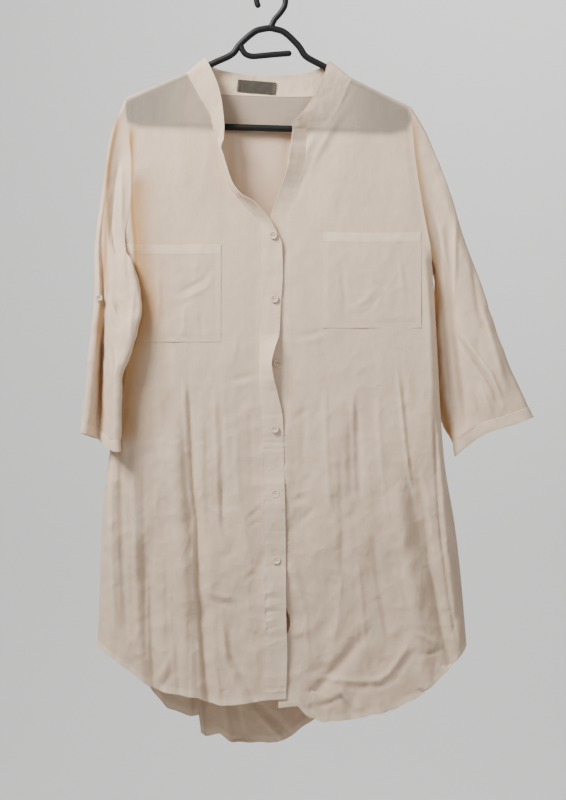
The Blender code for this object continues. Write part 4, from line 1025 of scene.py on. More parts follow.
def back_columns(neck):
    """Return the back's columns of outer points, from the right side to the left."""
    def inner_right(z):
        return side_of_right(z) + side_round(z)

    def inner_left(z):
        return side_of_left(z) - side_round(z)

    right_tip = SHOULDER_TIP_RIGHT + ARMHOLE_ROUND
    left_tip = SHOULDER_TIP_LEFT - ARMHOLE_ROUND
    tops = [lerp(right_tip, NECK_POINT_RIGHT, t) for t in SHOULDER_STEPS]
    tops = [(x, ridge(x)) for x in tops] + rounded_neck(NECK_POINT_RIGHT, neck)
    tops[-1:] = rounded_neck(NECK_POINT_LEFT, neck[-1:])[::-1]
    others = [lerp(left_tip, NECK_POINT_LEFT, t) for t in SHOULDER_STEPS[::-1]]
    tops += [(x, ridge(x)) for x in others]
    hem = curve_through(BACK_HEM)
    columns = side_strip(-1, hem, UNDERARM_RIGHT)
    for number, (x, top) in enumerate(tops):
        start = (x - inner_right(top)) / (inner_left(top) - inner_right(top))
        even = number / (len(tops) - 1)
        underarm = lerp(UNDERARM_RIGHT, UNDERARM_LEFT, even)
        low = hem(lerp(inner_right(PANEL_HEM), inner_left(PANEL_HEM), even))
        columns.append(panel_column(x, top, start, even, low, underarm, inner_right, inner_left))
    columns += side_strip(1, hem, UNDERARM_LEFT)[::-1]
    return placed(columns, back_face)


def sheet_normals(grid, outward):
    """Return the unit normals of a grid of points, on the side that outward points to."""
    rows, columns = len(grid), len(grid[0])
    normals = []
    for i in range(rows):
        line = []
        for j in range(columns):
            across = grid[min(i + 1, rows - 1)][j] - grid[max(i - 1, 0)][j]
            down = grid[i][min(j + 1, columns - 1)] - grid[i][max(j - 1, 0)]
            line.append(across.cross(down).normalized())
        normals.append(line)
    if sum(normal.dot(outward) for line in normals for normal in line) < 0:
        normals = [[-normal for normal in line] for line in normals]
    return normals


def spine(ring):
    """Return a finely stepped path along the line that a flat sleeve is folded on."""
    points = [Vector(point) for point in (ring.outer, ring.crease, ring.front, ring.inner)]
    return path_through(points, [SPINE_SAMPLES // 3] * 3)


def along_path(path, distances):
    """Return the points and directions at the given distances along a path."""
    found = []
    travelled, i = 0.0, 0
    for distance in distances:
        while i < len(path) - 2 and travelled + (path[i + 1] - path[i]).length < distance:
            travelled += (path[i + 1] - path[i]).length
            i += 1
        step = path[i + 1] - path[i]
        found.append((path[i] + step * ((distance - travelled) / step.length), step.normalized()))
    return found


def path_length(path):
    """Return a path's length."""
    return sum((after - before).length for before, after in zip(path, path[1:]))


def spine_stations(ring):
    """Return points along a ring's line, close together at its ends, and half its height."""
    path = spine(ring)
    length = path_length(path)
    crease = path_length(path[:SPINE_SAMPLES // 3 + 1])
    near = [ring.half * step for step in ROUND_STEPS]
    far = [length - distance for distance in near[::-1]]
    middle = [lerp(near[-1], crease, 0.5), crease]
    rest = UNDERARM_ROW + 1 - 2 * len(ROUND_STEPS) - len(middle)
    middle += [lerp(crease, far[0], (k + 1) / (rest + 1)) for k in range(rest)]
    distances = near + middle + far
    halves = []
    for distance in distances:
        open_part = smooth_step(abs(distance - crease) / CREASE_REACH)
        half = lerp(ring.pinch, ring.half, open_part)
        halves.append(half * round_off(min(distance, length - distance), ring.half))
    return [point for point, _ in along_path(path, distances)], halves


def sleeve_grid(armhole_front, armhole_back, rings):
    """Return a sleeve's rings of outer points, the first one along the armhole.

    Each ring holds its front points from the outer edge to the inner one, then its back
    points on the way home.
    """
    front = [point.copy() for point in armhole_front[:UNDERARM_ROW + 1]]
    back = [point.copy() for point in armhole_back[:UNDERARM_ROW + 1]]
    front[0].y = front[-1].y = 0.0
    stations = [spine_stations(ring) for ring in rings]
    lines = [[lerp(fore, aft, 0.5) for fore, aft in zip(front, back)]]
    lines += [points for points, _ in stations]
    normals = sheet_normals(lines, Vector((0, -1, 0)))
    grid = [front + back[-2:0:-1]]
    for line, across, (_, halves) in zip(lines[1:], normals[1:], stations):
        fore = [point + normal * half for point, normal, half in zip(line, across, halves)]
        aft = [point - normal * half for point, normal, half in zip(line, across, halves)]
        grid.append(fore + aft[-2:0:-1])
    return grid


def placket_grid(edge_column, rows):
    """Return a placket's points across: seam side, middle and free edge, for each row."""
    edge_x = curve_through([(row.seam_z, row.edge_x) for row in rows])
    drop = curve_through([(row.seam_z, row.edge_z - row.seam_z) for row in rows])
    lean = curve_through([(row.seam_z, row.lean) for row in rows])
    grid = []
    for point in edge_column:
        edge = Vector((edge_x(point.z), point.y - lean(point.z), point.z + drop(point.z)))
        grid.append([point, lerp(point, edge, 0.5), edge])
    return grid


def collar_seam(right_columns, left_columns, back, top_row, under_row):
    """Return the collar's seam points and their places, from the right end to the left."""
    shoulder = len(ROUND_STEPS) + len(SHOULDER_STEPS) - 2
    right_neck = [column[0] for column in right_columns[shoulder:]]
    left_neck = [column[0] for column in left_columns[shoulder:]]
    back_neck = [column[0] for column in back[shoulder + 1:len(back) - 1 - shoulder]]
    runs = (
        (0, top_row[::-1]),
        (1, right_neck[::-1]),
        (2, [right_neck[0]] + back_neck[:len(back_neck) // 2 + 1]),
        (3, back_neck[len(back_neck) // 2:] + [left_neck[0]]),
        (4, left_neck),
        (5, under_row),
    )
    places = []
    for place, points in runs:
        total = path_length(points)
        travelled = 0.0
        for i, point in enumerate(points):
            if i > 0:
                travelled += (point - points[i - 1]).length
            if i == 0 and places:
                continue
            places.append((round(place + travelled / total, 6), point.copy()))
    return places


def collar_rows(places):
    """Return the collar's points from its seam to its free edge, for each place."""
    edge = [curve_through([(row.place, row[k]) for row in COLLAR_EDGE]) for k in range(1, 5)]
    grid = []
    for place, seam in places:
        if place in (2, 4):
            seam.y = 0.0
        free = Vector((edge[0](place), edge[1](place), edge[2](place)))
        outwards = Vector((seam.x, seam.y * COLLAR_FLATNESS, 0)).normalized()
        bow = edge[3](place)
        grid.append([
            lerp(seam, free, t) + outwards * bow * math.sin(math.pi * t) for t in COLLAR_ACROSS
        ])
    return grid


def hanger_loop():
    """Return the closed centre line of the hanger's arms and lower bar."""
    half = [tilted(x, z) for x, z, _ in HANGER_HALF]
    other = [tilted(-x, z) for x, z, _ in HANGER_HALF]
    counts = [row[2] for row in HANGER_HALF]
    left = path_through(half, counts[:-1])
    right = path_through(other, counts[:-1])
    return left + right[:0:-1]


def hook_path():
    """Return the hook's centre line, from its tip over the rail to the hanger's top."""
    radius = HOOK_INNER_RADIUS + HOOK_RADIUS
    centre = Vector((0, 0, -HOOK_INNER_RADIUS))
    arc = []
    for k in range(HOOK_STEPS + 1):
        angle = lerp(HOOK_SWEEP, 0, k / HOOK_STEPS)
        arc.append(centre + Vector((math.cos(angle), 0, math.sin(angle))) * radius)
    stem = [Vector((x, 0, z)) for x, z in HOOK_STEM]
    foot = tilted(0, HANGER_HALF[0][1])
    return arc + stem + [foot]


# ---------------------------------------------------------------------------------------
# Fine surfaces
# ---------------------------------------------------------------------------------------

def smooth_rows(points, counts, closed):
    """Put counts[i] steps after the i-th row, along curves that never overshoot it."""
    steps = np.roll(points, -1, axis=0) - points
    if not closed:
        steps[-1] = steps[-2]
    before = np.roll(steps, 1, axis=0)
    if not closed:
        before[0] = steps[0]
    product, total = before * steps, before + steps
    rising = product > 0
    slopes = np.where(rising, 2 * product / np.where(rising, total, 1.0), 0.0)
    rows = []
    for i, count in enumerate(counts):
        after = (i + 1) % len(points)
        t = (np.arange(count) / count)[:, None, None]
        rows.append((1 + 2 * t) * (1 - t) ** 2 * points[i] + t * (1 - t) ** 2 * slopes[i]
                    + t * t * (3 - 2 * t) * points[after] + t * t * (t - 1) * slopes[after])
    if not closed:
        rows.append(points[-1:])
    return np.concatenate(rows)


def refine(grid, step, closed=False):
    """Return a coarse grid of points as a fine smooth array: across, down, x y z."""
    points = np.array([[tuple(point) for point in line] for line in grid])
    for axis in (0, 1):
        if axis:
            points = points.swapaxes(0, 1)
        joined = closed and not axis
        ahead = np.roll(points, -1, axis=0) if joined else points[1:]
        spans = np.linalg.norm(ahead - points[:len(ahead)], axis=2).max(axis=1)
        counts = np.maximum(np.ceil(spans / step).astype(int), 1)
        points = smooth_rows(points, counts, joined)
    return points.swapaxes(0, 1)


def surface_normals(points, closed, outward):
    """Return a fine grid's unit normals. outward is a direction, or None for a tube's outside."""
    if closed:
        across = np.roll(points, -1, axis=0) - np.roll(points, 1, axis=0)
    else:
        across = np.gradient(points, axis=0)
    normals = np.cross(across, np.gradient(points, axis=1))
    normals /= np.maximum(np.linalg.norm(normals, axis=2, keepdims=True), 1e-9)
    away = points - points.mean(axis=0, keepdims=True) if outward is None else np.array(outward)
    return -normals if (normals * away).sum() < 0 else normals


def distance_from(points, axis, far):
    """Return every point's distance along the cloth from one border of its grid."""
    steps = np.linalg.norm(np.diff(points, axis=axis), axis=2)
    if far:
        steps = np.flip(steps, axis=axis)
    start = np.zeros_like(np.take(steps, [0], axis=axis))
    total = np.concatenate([start, np.cumsum(steps, axis=axis)], axis=axis)
    return np.flip(total, axis=axis) if far else total


def ramp(value):
    """Return 0 to 1 smoothly for an array of values."""
    value = np.clip(value, 0.0, 1.0)
    return value * value * (3 - 2 * value)


def slackness(z, slack):
    """Return how loose the cloth hangs at z: 0 above the slack stretch and 1 below it."""
    return ramp((slack.z_top - z) / slack.reach)


def near_border(points, axis, far, width):
    """Return 1 along one border of a grid, fading over a width."""
    return np.exp(-distance_from(points, axis, far) / width)


# The tone of the rims of doubled cloth, paler cloth and painted highlight both, along one
# border of a grid each
Rim = namedtuple("Rim", "axis far tone width")
PLACKET_RIMS = (Rim(0, True, 0.85, 1.3), Rim(0, False, 0.51, 1.3))
COLLAR_RIMS = (Rim(1, True, 0.55, 1.3), Rim(1, False, 0.55, 2.0))
SLEEVE_RIMS = (Rim(1, False, 0.5, 2.0),)


def rimmed(points, rims):
    """Return the paler tone and painted highlight of a piece's rims."""
    return sum(rim.tone * near_border(points, rim.axis, rim.far, rim.width) for rim in rims)


def depths(face, x, z):
    """Return a face's depth at arrays of x and z."""
    return np.array([face(a, b) for a, b in zip(x.ravel(), z.ravel())]).reshape(x.shape)


def across_path(points_on_path, x, z):
    """Return each place's signed distance to a path, right of it positive, and how far
    along the path that is, and the path's length."""
    path = np.array(points_on_path, dtype=float)
    lengths = np.linalg.norm(np.diff(path, axis=0), axis=1)
    starts = np.concatenate([[0.0], np.cumsum(lengths)])
    nearest = np.full(x.shape, np.inf)
    signed = np.zeros(x.shape)
    along = np.zeros(x.shape)
    for k, length in enumerate(lengths):
        unit = (path[k + 1] - path[k]) / length
        dx, dz = x - path[k][0], z - path[k][1]
        run = np.clip(dx * unit[0] + dz * unit[1], 0, length)
        away_x, away_z = dx - run * unit[0], dz - run * unit[1]
        distance = np.hypot(away_x, away_z)
        closer = distance < nearest
        side = np.where(dz * unit[0] - dx * unit[1] > 0, 1.0, -1.0)
        nearest = np.where(closer, distance, nearest)
        signed = np.where(closer, side * distance, signed)
        along = np.where(closer, starts[k] + run, along)
    return signed, along, starts[-1]


def bell(signed, left, right):
    """Return 1 on a path, falling off by one width on each side of it."""
    return np.exp(-(signed / np.where(signed < 0, left, right)) ** 2)


def creased(creases, x, z):
    """Return the creases' lift at x, z, the painted shade of troughs and highlight of crests."""
    lift = np.zeros(x.shape)
    trough_shade = np.zeros(x.shape)
    crest_highlight = np.zeros(x.shape)
    for crease in creases:
        signed, along, length = across_path(crease.path, x, z)
        fade = min(CREASE_FADE, length * LONGEST_FADE)
        strength = ramp(along / fade) * ramp((length - along) / fade)
        shape = bell(signed, crease.left, crease.right) * strength
        lift += crease.rise * shape
        mark = abs(crease.rise) / DEEPEST_CREASE * strength
        mark = mark * bell(signed, crease.left * TONE_WIDTH, crease.right * TONE_WIDTH)
        if crease.rise < 0:
            trough_shade = np.maximum(trough_shade, mark)
        else:
            crest_highlight = np.maximum(crest_highlight, mark)
    return lift, trough_shade, crest_highlight


def glowing(glows, x, z):
    """Return how strong the painted warm glow between two layers is at x, z."""
    total = np.zeros(x.shape)
    for glow in glows:
        signed, along, length = across_path(glow.path, x, z)
        ends = ramp(along / GLOW_FADE) * ramp((length - along) / GLOW_FADE)
        total = np.maximum(total, glow.strength * ends * bell(signed, glow.left, glow.right))
    return total


def waves(points, across, down, seed):
    """Return smooth noise between about -1 and 1 over the cloth, in waves of two sizes."""
    values = [
        noise.noise(Vector((x / across, y / across + seed, z / down)))
        for x, y, z in points.reshape(-1, 3)
    ]
    return np.array(values).reshape(points.shape[:2]) * WAVE_GAIN


def bent(points, across, down, seed):
    """Return waves that are folded up at 0, which leaves sharp valleys between them."""
    return np.abs(waves(points, across, down, seed))


def wrinkled(points, across, down, seed):
    """Return sharp uneven wrinkles of 0 to 1, with flat cloth between them."""
    spread = bent(points, across * SPREAD_ACROSS, down * SPREAD_DOWN, seed + SPREAD_SEED)
    narrow = np.exp(-(bent(points, across, down, seed) / WRINKLE_WIDTH) ** 2)
    return narrow * ramp(spread * WRINKLE_SPREAD)


# One kind of unevenness of a cloth: its rise, what that gains where the cloth hangs loose,
# and the size of its waves
Ripple = namedtuple("Ripple", "kind rise gain across down seed")
PANEL_RIPPLES = (
    Ripple(waves, 0.6, 0.6, 40.0, 150.0, 0.0),
    Ripple(waves, 0.12, 0.15, 13.0, 24.0, 5.0),
    Ripple(bent, 0.5, 2.6, 62.0, 110.0, 21.0),
    Ripple(bent, -0.25, -1.3, 30.0, 38.0, 27.0),
    Ripple(wrinkled, 0.06, 0.45, 26.0, 60.0, 13.0),
    Ripple(wrinkled, -0.06, -0.40, 22.0, 26.0, 17.0),
    Ripple(waves, 0.12, 0.0, 5.0, 7.0, 9.0),
)
SLEEVE_RIPPLES = (
    Ripple(waves, 0.7, 0.0, 26.0, 80.0, 41.0),
    Ripple(waves, 0.28, 0.0, 9.0, 16.0, 47.0),
    Ripple(bent, 0.6, 0.8, 30.0, 60.0, 53.0),
    Ripple(bent, -0.3, -0.5, 20.0, 24.0, 59.0),
)
CUFF_RIPPLES = (
    Ripple(waves, 0.7, 0.0, 24.0, 40.0, 57.0),
    Ripple(waves, 0.3, 0.0, 7.0, 9.0, 51.0),
)
BAND_RIPPLES = (
    Ripple(waves, 0.22, 0.0, 9.0, 26.0, 0.0),
    Ripple(waves, 0.5, 0.0, 60.0, 44.0, 3.0),
)
COLLAR_RIPPLES = (
    Ripple(waves, 0.8, 0.0, 26.0, 22.0, 4.0),
    Ripple(waves, 0.35, 0.0, 11.0, 13.0, 14.0),
)
COLLAR_GRAIN = (Ripple(waves, 0.2, 0.0, 5.0, 8.0, 9.0),)
UNDER_POCKET_RIPPLES = (Ripple(waves, 0.5, 0.0, 34.0, 150.0, 11.0),)
POCKET_RIPPLES = (
    Ripple(waves, 0.25, 0.0, 11.0, 14.0, 31.0),
    Ripple(wrinkled, 0.3, 0.0, 24.0, 20.0, 37.0),
)
LABEL_RIPPLES = (Ripple(waves, 0.25, 0.0, 9.0, 9.0, 61.0),)

# How puckers drift along their row, in radians, and where they gather into patches
PUCKER_DRIFT = (Ripple(waves, 6.0, 0.0, 30.0, 30.0, 7.3),)
PUCKER_PATCHES = (Ripple(waves, 1.3, 0.0, 21.0, 21.0, 3.1),)
PUCKER_COVER = 0.35


def rippled(points, ripples, seed=0.0, loose=0.0):
    """Return how far all the ripples of a cloth lift it."""
    return sum(
        (ripple.rise + ripple.gain * loose)
        * ripple.kind(points, ripple.across, ripple.down, seed + ripple.seed)
        for ripple in ripples
    )


# ---------------------------------------------------------------------------------------
# Meshes
# ---------------------------------------------------------------------------------------

def shell_faces(rows, columns, closed):
    """Return the quads of a thin closed shell over a grid, its outer points first."""
    count = rows * columns
    last = rows if closed else rows - 1
    i, j = np.meshgrid(np.arange(last), np.arange(columns - 1), indexing="ij")
    i, j = i.ravel(), j.ravel()
    near, far = i * columns + j, (i + 1) % rows * columns + j
    outer = np.stack([near, near + 1, far + 1, far], axis=1)
    faces = [outer, outer[:, ::-1] + count]
    run = np.arange(last)
    here, after = run * columns, (run + 1) % rows * columns
    faces.append(np.stack([here, after, after + count, here + count], axis=1))
    end = columns - 1
    faces.append(np.stack([after, here, here + count, after + count], axis=1) + end)
    if not closed:
        step = np.arange(columns - 1)
        base = (rows - 1) * columns
        faces.append(np.stack([step + 1, step, step + count, step + 1 + count], axis=1))
        faces.append(np.stack([base + step, base + step + 1, base + step + 1 + count,
                               base + step + count], axis=1))
    return np.concatenate(faces)


def finish(built, material, replaced=()):
    """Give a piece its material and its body."""
    if material is not None:
        built.data.materials.append(material)
    if built.name not in bpy.context.scene.collection.objects:
        bpy.context.scene.collection.objects.link(built)
    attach(built, "root")
    if replaced:
        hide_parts(*replaced)
    return built


def masked(light, painted_glow=0.0, shade=0.0):
    """Return a cloth's masks. A single number stands for the whole cloth."""
    # The masks carry painted glow, painted shade, and paler doubled cloth with painted highlight
    return {"painted_glow": light * 0 + painted_glow, "light": light, "shade": light * 0 + shade}


def cloth_shell(name, outer, normals, thickness, closed, masks):
    """Return an object: a thin shell inwards of a grid, with masks at its points."""
    rows, columns = outer.shape[:2]
    inner = outer - normals * thickness
    points = np.concatenate([outer.reshape(-1, 3), inner.reshape(-1, 3)]) * MM
    faces = shell_faces(rows, columns, closed)
    corners = outer.reshape(-1, 3)[faces[:rows]]
    turned = np.cross(corners[:, 1] - corners[:, 0], corners[:, 3] - corners[:, 0])
    if (turned * normals.reshape(-1, 3)[faces[:rows, 0]]).sum() < 0:
        faces = faces[:, ::-1]
    mesh = bpy.data.meshes.new(name)
    mesh.from_pydata(points.tolist(), [], faces.tolist())
    masks["hang"] = slackness(outer[..., 2], SHADING_SLACK)
    for mask, values in masks.items():
        layer = mesh.attributes.new(mask, "FLOAT", "POINT")
        flat = np.clip(values, 0.0, 1.0).astype(np.float32).ravel()
        layer.data.foreach_set("value", np.concatenate([flat, flat]))
    mesh.shade_smooth()
    mesh.set_sharp_from_angle(angle=math.radians(50))
    return bpy.data.objects.new(name, mesh)


def stitch_line(outer, normals, axis, far, distance):
    """Return points on the cloth at a distance from a border, for a row of stitches."""
    if axis == 1:
        outer, normals = outer.swapaxes(0, 1), normals.swapaxes(0, 1)
    if far:
        outer, normals = outer[::-1], normals[::-1]
    away = distance_from(outer, 0, False)
    path = []
    for k in range(outer.shape[1]):
        if away[-1, k] <= distance:
            continue
        i = max(int(np.searchsorted(away[:, k], distance)) - 1, 0)
        t = (distance - away[i, k]) / max(away[i + 1, k] - away[i, k], 1e-6)
        point = outer[i, k] * (1 - t) + outer[i + 1, k] * t
        path.append(point + normals[i, k] * STITCH_LIFT)
    return np.array(path)


sewing = []


def sew(outer, normals, rows):
    """Note the rows of stitches of one piece: axis, far, and distances from that border."""
    for row in rows:
        for distance in row.stitches:
            sewing.append(stitch_line(outer, normals, row.axis, row.far, distance))


# A border of a piece's grid: how wide its doubled cloth is, how far that is raised, and how
# far from the border its stitches run
Border = namedtuple("Border", "axis far band raised stitches")


def doubled(points, borders):
    """Return how light the cloth is where borders double it, and how far that lifts it."""
    light = np.zeros(points.shape[:2])
    lift = np.zeros(points.shape[:2])
    for border in borders:
        inside = distance_from(points, border.axis, border.far)
        band = ramp((border.band - inside) / STEP_WIDTH + 0.5)
        light = np.maximum(light, band * min(border.raised / FULL_STEP, 1.0))
        lift = np.maximum(lift, band * border.raised)
        for distance in border.stitches:
            lift -= DENT_DEPTH * np.exp(-((inside - distance) / DENT_WIDTH) ** 2)
    return light, lift


# The small ripples that a row of stitches draws up beside a border of the grid
Pucker = namedtuple("Pucker", "axis far reach rise pitch")
PLACKET_SEAM_PUCKERS = (Pucker(0, True, 3.6, 0.34, 4.6),)
HEM_PUCKERS = (Pucker(1, True, 6.0, 0.25, 9.0),)
BAND_PUCKERS = (Pucker(0, False, 3.6, 0.20, 4.6), Pucker(0, True, 2.6, 0.10, 3.9))
COLLAR_PUCKERS = (Pucker(1, False, 4.0, 0.12, 4.0), Pucker(1, True, 3.0, 0.10, 4.0))
CUFF_PUCKERS = (Pucker(1, False, 3.0, 0.16, 4.4),)


def puckered(points, puckers):
    """Return how far a cloth's puckers lift it."""
    drift = rippled(points, PUCKER_DRIFT)
    strength = ramp(rippled(points, PUCKER_PATCHES) + PUCKER_COVER)
    lift = np.zeros(points.shape[:2])
    for pucker in puckers:
        away = distance_from(points, pucker.axis, pucker.far)
        run = distance_from(points, 1 - pucker.axis, False)
        ripples = np.sin(2 * math.pi * run / pucker.pitch + drift)
        lift += pucker.rise * strength * np.exp(-(away / pucker.reach) ** 2) * ripples
    return lift


# ---------------------------------------------------------------------------------------
# Body panels
# ---------------------------------------------------------------------------------------

def hanger_shadow(x, z):
    """Return the painted shade of the hanger and its shadow through the shoulders' cloth at x, z.
    """
    path = [(point.x, point.z) for point in hanger_loop()[::3]]
    path.append(path[0])
    signed, _, _ = across_path(path, x, z)
    if signed[z < WELL_BELOW_HANGER].mean() <= 0:
        signed = -signed
    toward_tip = ramp((np.abs(x) - TIP_SHADE_START) / TIP_SHADE_REACH)
    line = np.exp(-(signed / BAR_SHADE_WIDTH) ** 2) * lerp(BAR_SHADE, 1.0, toward_tip)
    inside = ramp(0.5 - signed / SHADE_EDGE) * lerp(INNER_SHADE, 1.0, toward_tip)
    return np.maximum(line, inside) * (z > SHADE_END)


def shaped_hem(points, hem, seed):
    """Move a panel's lowest cloth so that its hem steps and waves as the folds fall."""
    bottom = points[:, -1].copy()
    target = bottom[:, 2]
    if hem:
        target = np.interp(bottom[:, 0], [place[0] for place in hem], [place[1] for place in hem])
    target = target + HEM_WAVE * waves(bottom[:, None], 16.0, 90.0, seed)[:, 0]
    near = ramp((bottom[:, None, 2] + HEM_REACH - points[..., 2]) / HEM_REACH)
    points[..., 2] += (target - bottom[:, 2])[:, None] * near


def body_panel(name, columns, face, side, step, creases, glows, borders, sides, hem=()):
    """Make a front or the back, and return it and its grid.

    face gives its depth, side is -1 for a front and 1 for the back, and sides says which of
    its upright borders are side seams: the first, the last or both.
    """
    points = refine(columns, step)
    seed = FRONT_SEED if side < 0 else BACK_SEED
    shaped_hem(points, hem, seed)
    x, z = points[..., 0], points[..., 2]
    points[..., 1] = depths(face, x, z)
    still = ramp(distance_from(points, 1, False) / TOP_STILL)
    for far in sides:
        still = still * ramp(distance_from(points, 0, far) / SIDE_STILL)
    loose = slackness(z, BODY_SLACK)
    lift, trough_shade, crest_highlight = creased(creases, x, z)
    light, step_up = doubled(points, borders)
    lift = still * (lift + rippled(points, PANEL_RIPPLES, seed, loose)) + step_up
    lift += puckered(points, HEM_PUCKERS)
    if side < 0:
        lift += loose * puckered(points, PLACKET_SEAM_PUCKERS)
    points[..., 1] += side * lift
    normals = surface_normals(points, False, (0, side, 0))
    # Painted shade for the hanger and the crease troughs, painted highlight on the crests
    shade = np.maximum(hanger_shadow(x, z), trough_shade * still * TROUGH_SHADE)
    light = np.maximum(light, crest_highlight * still * CREST_HIGHLIGHT)
    masks = masked(light, glowing(glows, x, z), shade)
    built = cloth_shell(name, points, normals, CLOTH_THICKNESS, False, masks)
    finish(built, materials["cloth"], (name.replace("cloth_", ""),))
    sew(points, normals, borders)
    return built, points


PANEL_BORDERS = (
    Border(0, False, 6.5, 0.12, (5.6,)),
    Border(0, True, 5.0, 0.10, ()),
    Border(1, False, 6.0, 0.10, (5.0,)),
    Border(1, True, 8.5, 0.26, (7.6,)),
)
BACK_BORDERS = (
    Border(0, False, 6.5, 0.12, (5.6,)),
    Border(0, True, 6.5, 0.12, (5.6,)),
    Border(1, False, 6.0, 0.10, (5.0,)),
    Border(1, True, 8.5, 0.32, (7.6,)),
)
BAND_BORDERS = (
    Border(0, False, 0.0, 0.0, (1.6,)),
    Border(0, True, 0.0, 0.0, (1.6,)),
    Border(1, True, 8.0, 0.2, ()),
)
COLLAR_BORDERS = (Border(1, True, 0.0, 0.0, (1.8,)), Border(1, False, 0.0, 0.0, (1.8,)))
CUFF_BORDERS = (
    Border(1, False, 0.0, 0.0, (CUFF_STITCHES,)),
    Border(1, True, 0.0, 0.0, (CUFF_STITCHES,)),
)
LABEL_BORDERS = (Border(0, False, 0, 0, (1.6,)), Border(0, True, 0, 0, (1.6,)))
POCKET_BORDERS = (
    Border(0, False, 6.5, 0.09, (1.4,)),
    Border(0, True, 6.5, 0.09, (1.4,)),
    Border(1, True, 6.5, 0.09, (1.4,)),
    Border(1, False, 14.0, 0.30, (13.2,)),
)


def band_piece(node, grid, seed, creases):
    """Make a placket from its rows of points, as doubled cloth."""
    points = refine(grid, BAND_STEP)
    normals = surface_normals(points, False, (0, -1, 0))
    _, step_up = doubled(points, BAND_BORDERS)
    own, _, _ = creased(creases, points[..., 0], points[..., 2])
    free = ramp(distance_from(points, 1, False) / BAND_STILL)
    loose = slackness(points[..., 2], PLACKET_SLACK)
    lift = step_up + own + free * rippled(points, BAND_RIPPLES, seed)
    lift += loose * puckered(points, BAND_PUCKERS)
    points = points + normals * lift[..., None]
    normals = surface_normals(points, False, (0, -1, 0))
    # Paler doubled cloth, with a painted highlight along the placket's rims
    masks = masked(PLACKET_TONE + rimmed(points, PLACKET_RIMS))
    built = cloth_shell("cloth_" + node, points, normals, BAND_THICKNESS, False, masks)
    finish(built, materials["band"], (node,))
    sew(points, normals, BAND_BORDERS)
    return built


def collar_normals(points):
    """Return the collar's normals, which point away from the neck."""
    normals = surface_normals(points, False, (0, -1, 0))
    outside = (normals * (points - np.array(COLLAR_CENTRE))).sum() >= 0
    return normals if outside else -normals


def collar_piece(grid):
    """Make the band collar from its rows of points."""
    points = refine(grid, BAND_STEP)
    free = ramp(distance_from(points, 1, False) / COLLAR_STILL)
    lift = free * rippled(points, COLLAR_RIPPLES) + rippled(points, COLLAR_GRAIN)
    lift += puckered(points, COLLAR_PUCKERS)
    for border in COLLAR_BORDERS:
        inside = distance_from(points, border.axis, border.far)
        for distance in border.stitches:
            lift -= DENT_DEPTH * np.exp(-(inside - distance) ** 2)
    points = points + collar_normals(points) * lift[..., None]
    normals = collar_normals(points)
    # Paler doubled cloth with a painted highlight along the collar's rims, and an even painted
    # shade
    masks = masked(COLLAR_TONE + rimmed(points, COLLAR_RIMS), 0.0, COLLAR_SHADE)
    built = cloth_shell("cloth_collar", points, normals, BAND_THICKNESS, False, masks)
    finish(built, materials["band"], ("collar",))
    sew(points, normals, COLLAR_BORDERS)
    return built


def pocket_piece(node, patch, face, body_creases, own_creases, glows):
    """Make a patch pocket that follows its panel, its top hem turned and its edges folded."""
    width, height = patch.x_end - patch.x_start, patch.z_top - patch.z_bottom
    across = np.linspace(patch.x_start, patch.x_end, int(width / POCKET_STEP))
    down = np.linspace(patch.z_top, patch.z_bottom, int(height / POCKET_STEP))
    x, z = np.meshgrid(across, down, indexing="ij")
    arch = np.sin(np.pi * (x - patch.x_start) / width)
    z = z - POCKET_SAG * arch * ramp((z - patch.z_bottom) / height)
    points = np.stack([x, depths(face, x, z), z], axis=2)
    lift, _, _ = creased(body_creases, x, z)
    own, trough_shade, crest_highlight = creased(own_creases, x, z)
    inset = np.minimum(distance_from(points, 0, False), distance_from(points, 0, True))
    inset = np.minimum(inset, distance_from(points, 1, True))
    free = ramp((inset - POCKET_SEWN) / POCKET_FREE)
    light, step_up = doubled(points, POCKET_BORDERS)
    lift += POCKET_STAND + rippled(points, UNDER_POCKET_RIPPLES) + step_up
    lift += free * (own + POCKET_BULGE * arch + POCKET_PUFF + rippled(points, POCKET_RIPPLES))
    # The pocket's rim: paler doubled cloth with a painted highlight; painted highlight on crests
    light = np.maximum(light, POCKET_RIM_TONE * np.exp(-(inset / POCKET_RIM_WIDTH) ** 2))
    light = np.maximum(light, crest_highlight * CREST_HIGHLIGHT)
    points[..., 1] -= lift
    normals = surface_normals(points, False, (0, -1, 0))
    # Painted glow from the front's table, and painted shade in the pocket's troughs
    masks = masked(light, glowing(glows, x, z), trough_shade * TROUGH_SHADE)
    built = cloth_shell("cloth_" + node, points, normals, POCKET_THICKNESS, False, masks)
    finish(built, materials["cloth"], (node,))
    sew(points, normals, POCKET_BORDERS)
    return built


def sleeve_piece(side, mirror, tube_rows, creases, glows):
    """Make one sleeve from its rows of points. Its back has creases of its own, unseen."""
    points = refine(tube_rows, SLEEVE_STEP, closed=True)
    normals = surface_normals(points, True, None)
    facing = ramp(-normals[..., 1] * FACING_GAIN)
    behind = ramp(normals[..., 1] * FACING_GAIN)
    x, z = points[..., 0], points[..., 2]
    lift, trough_shade, crest_highlight = creased(creases, x, z)
    hidden, _, _ = creased(creases[::2], x + HIDDEN_SHIFT_X, z + HIDDEN_SHIFT_Z)
    still = ramp(distance_from(points, 1, False) / SLEEVE_STILL)
    loose = slackness(z, SLEEVE_SLACK)
    lift = lift * facing + hidden * behind + rippled(points, SLEEVE_RIPPLES, mirror, loose)
    lift = still * lift - SEAM_DIP * near_border(points, 1, False, SEAM_DIP_WIDTH)
    points = points + normals * lift[..., None]
    normals = surface_normals(points, True, None)
    # The painted highlight, painted glow and painted shade lie only on the side facing the camera
    light = np.maximum(rimmed(points, SLEEVE_RIMS), crest_highlight * facing * CREST_HIGHLIGHT)
    masks = masked(light, glowing(glows, x, z) * facing, trough_shade * facing * TROUGH_SHADE)
    built = cloth_shell("cloth_sleeve_" + side, points, normals, CLOTH_THICKNESS, True, masks)
    return finish(built, materials["cloth"], ("sleeve_" + side,))


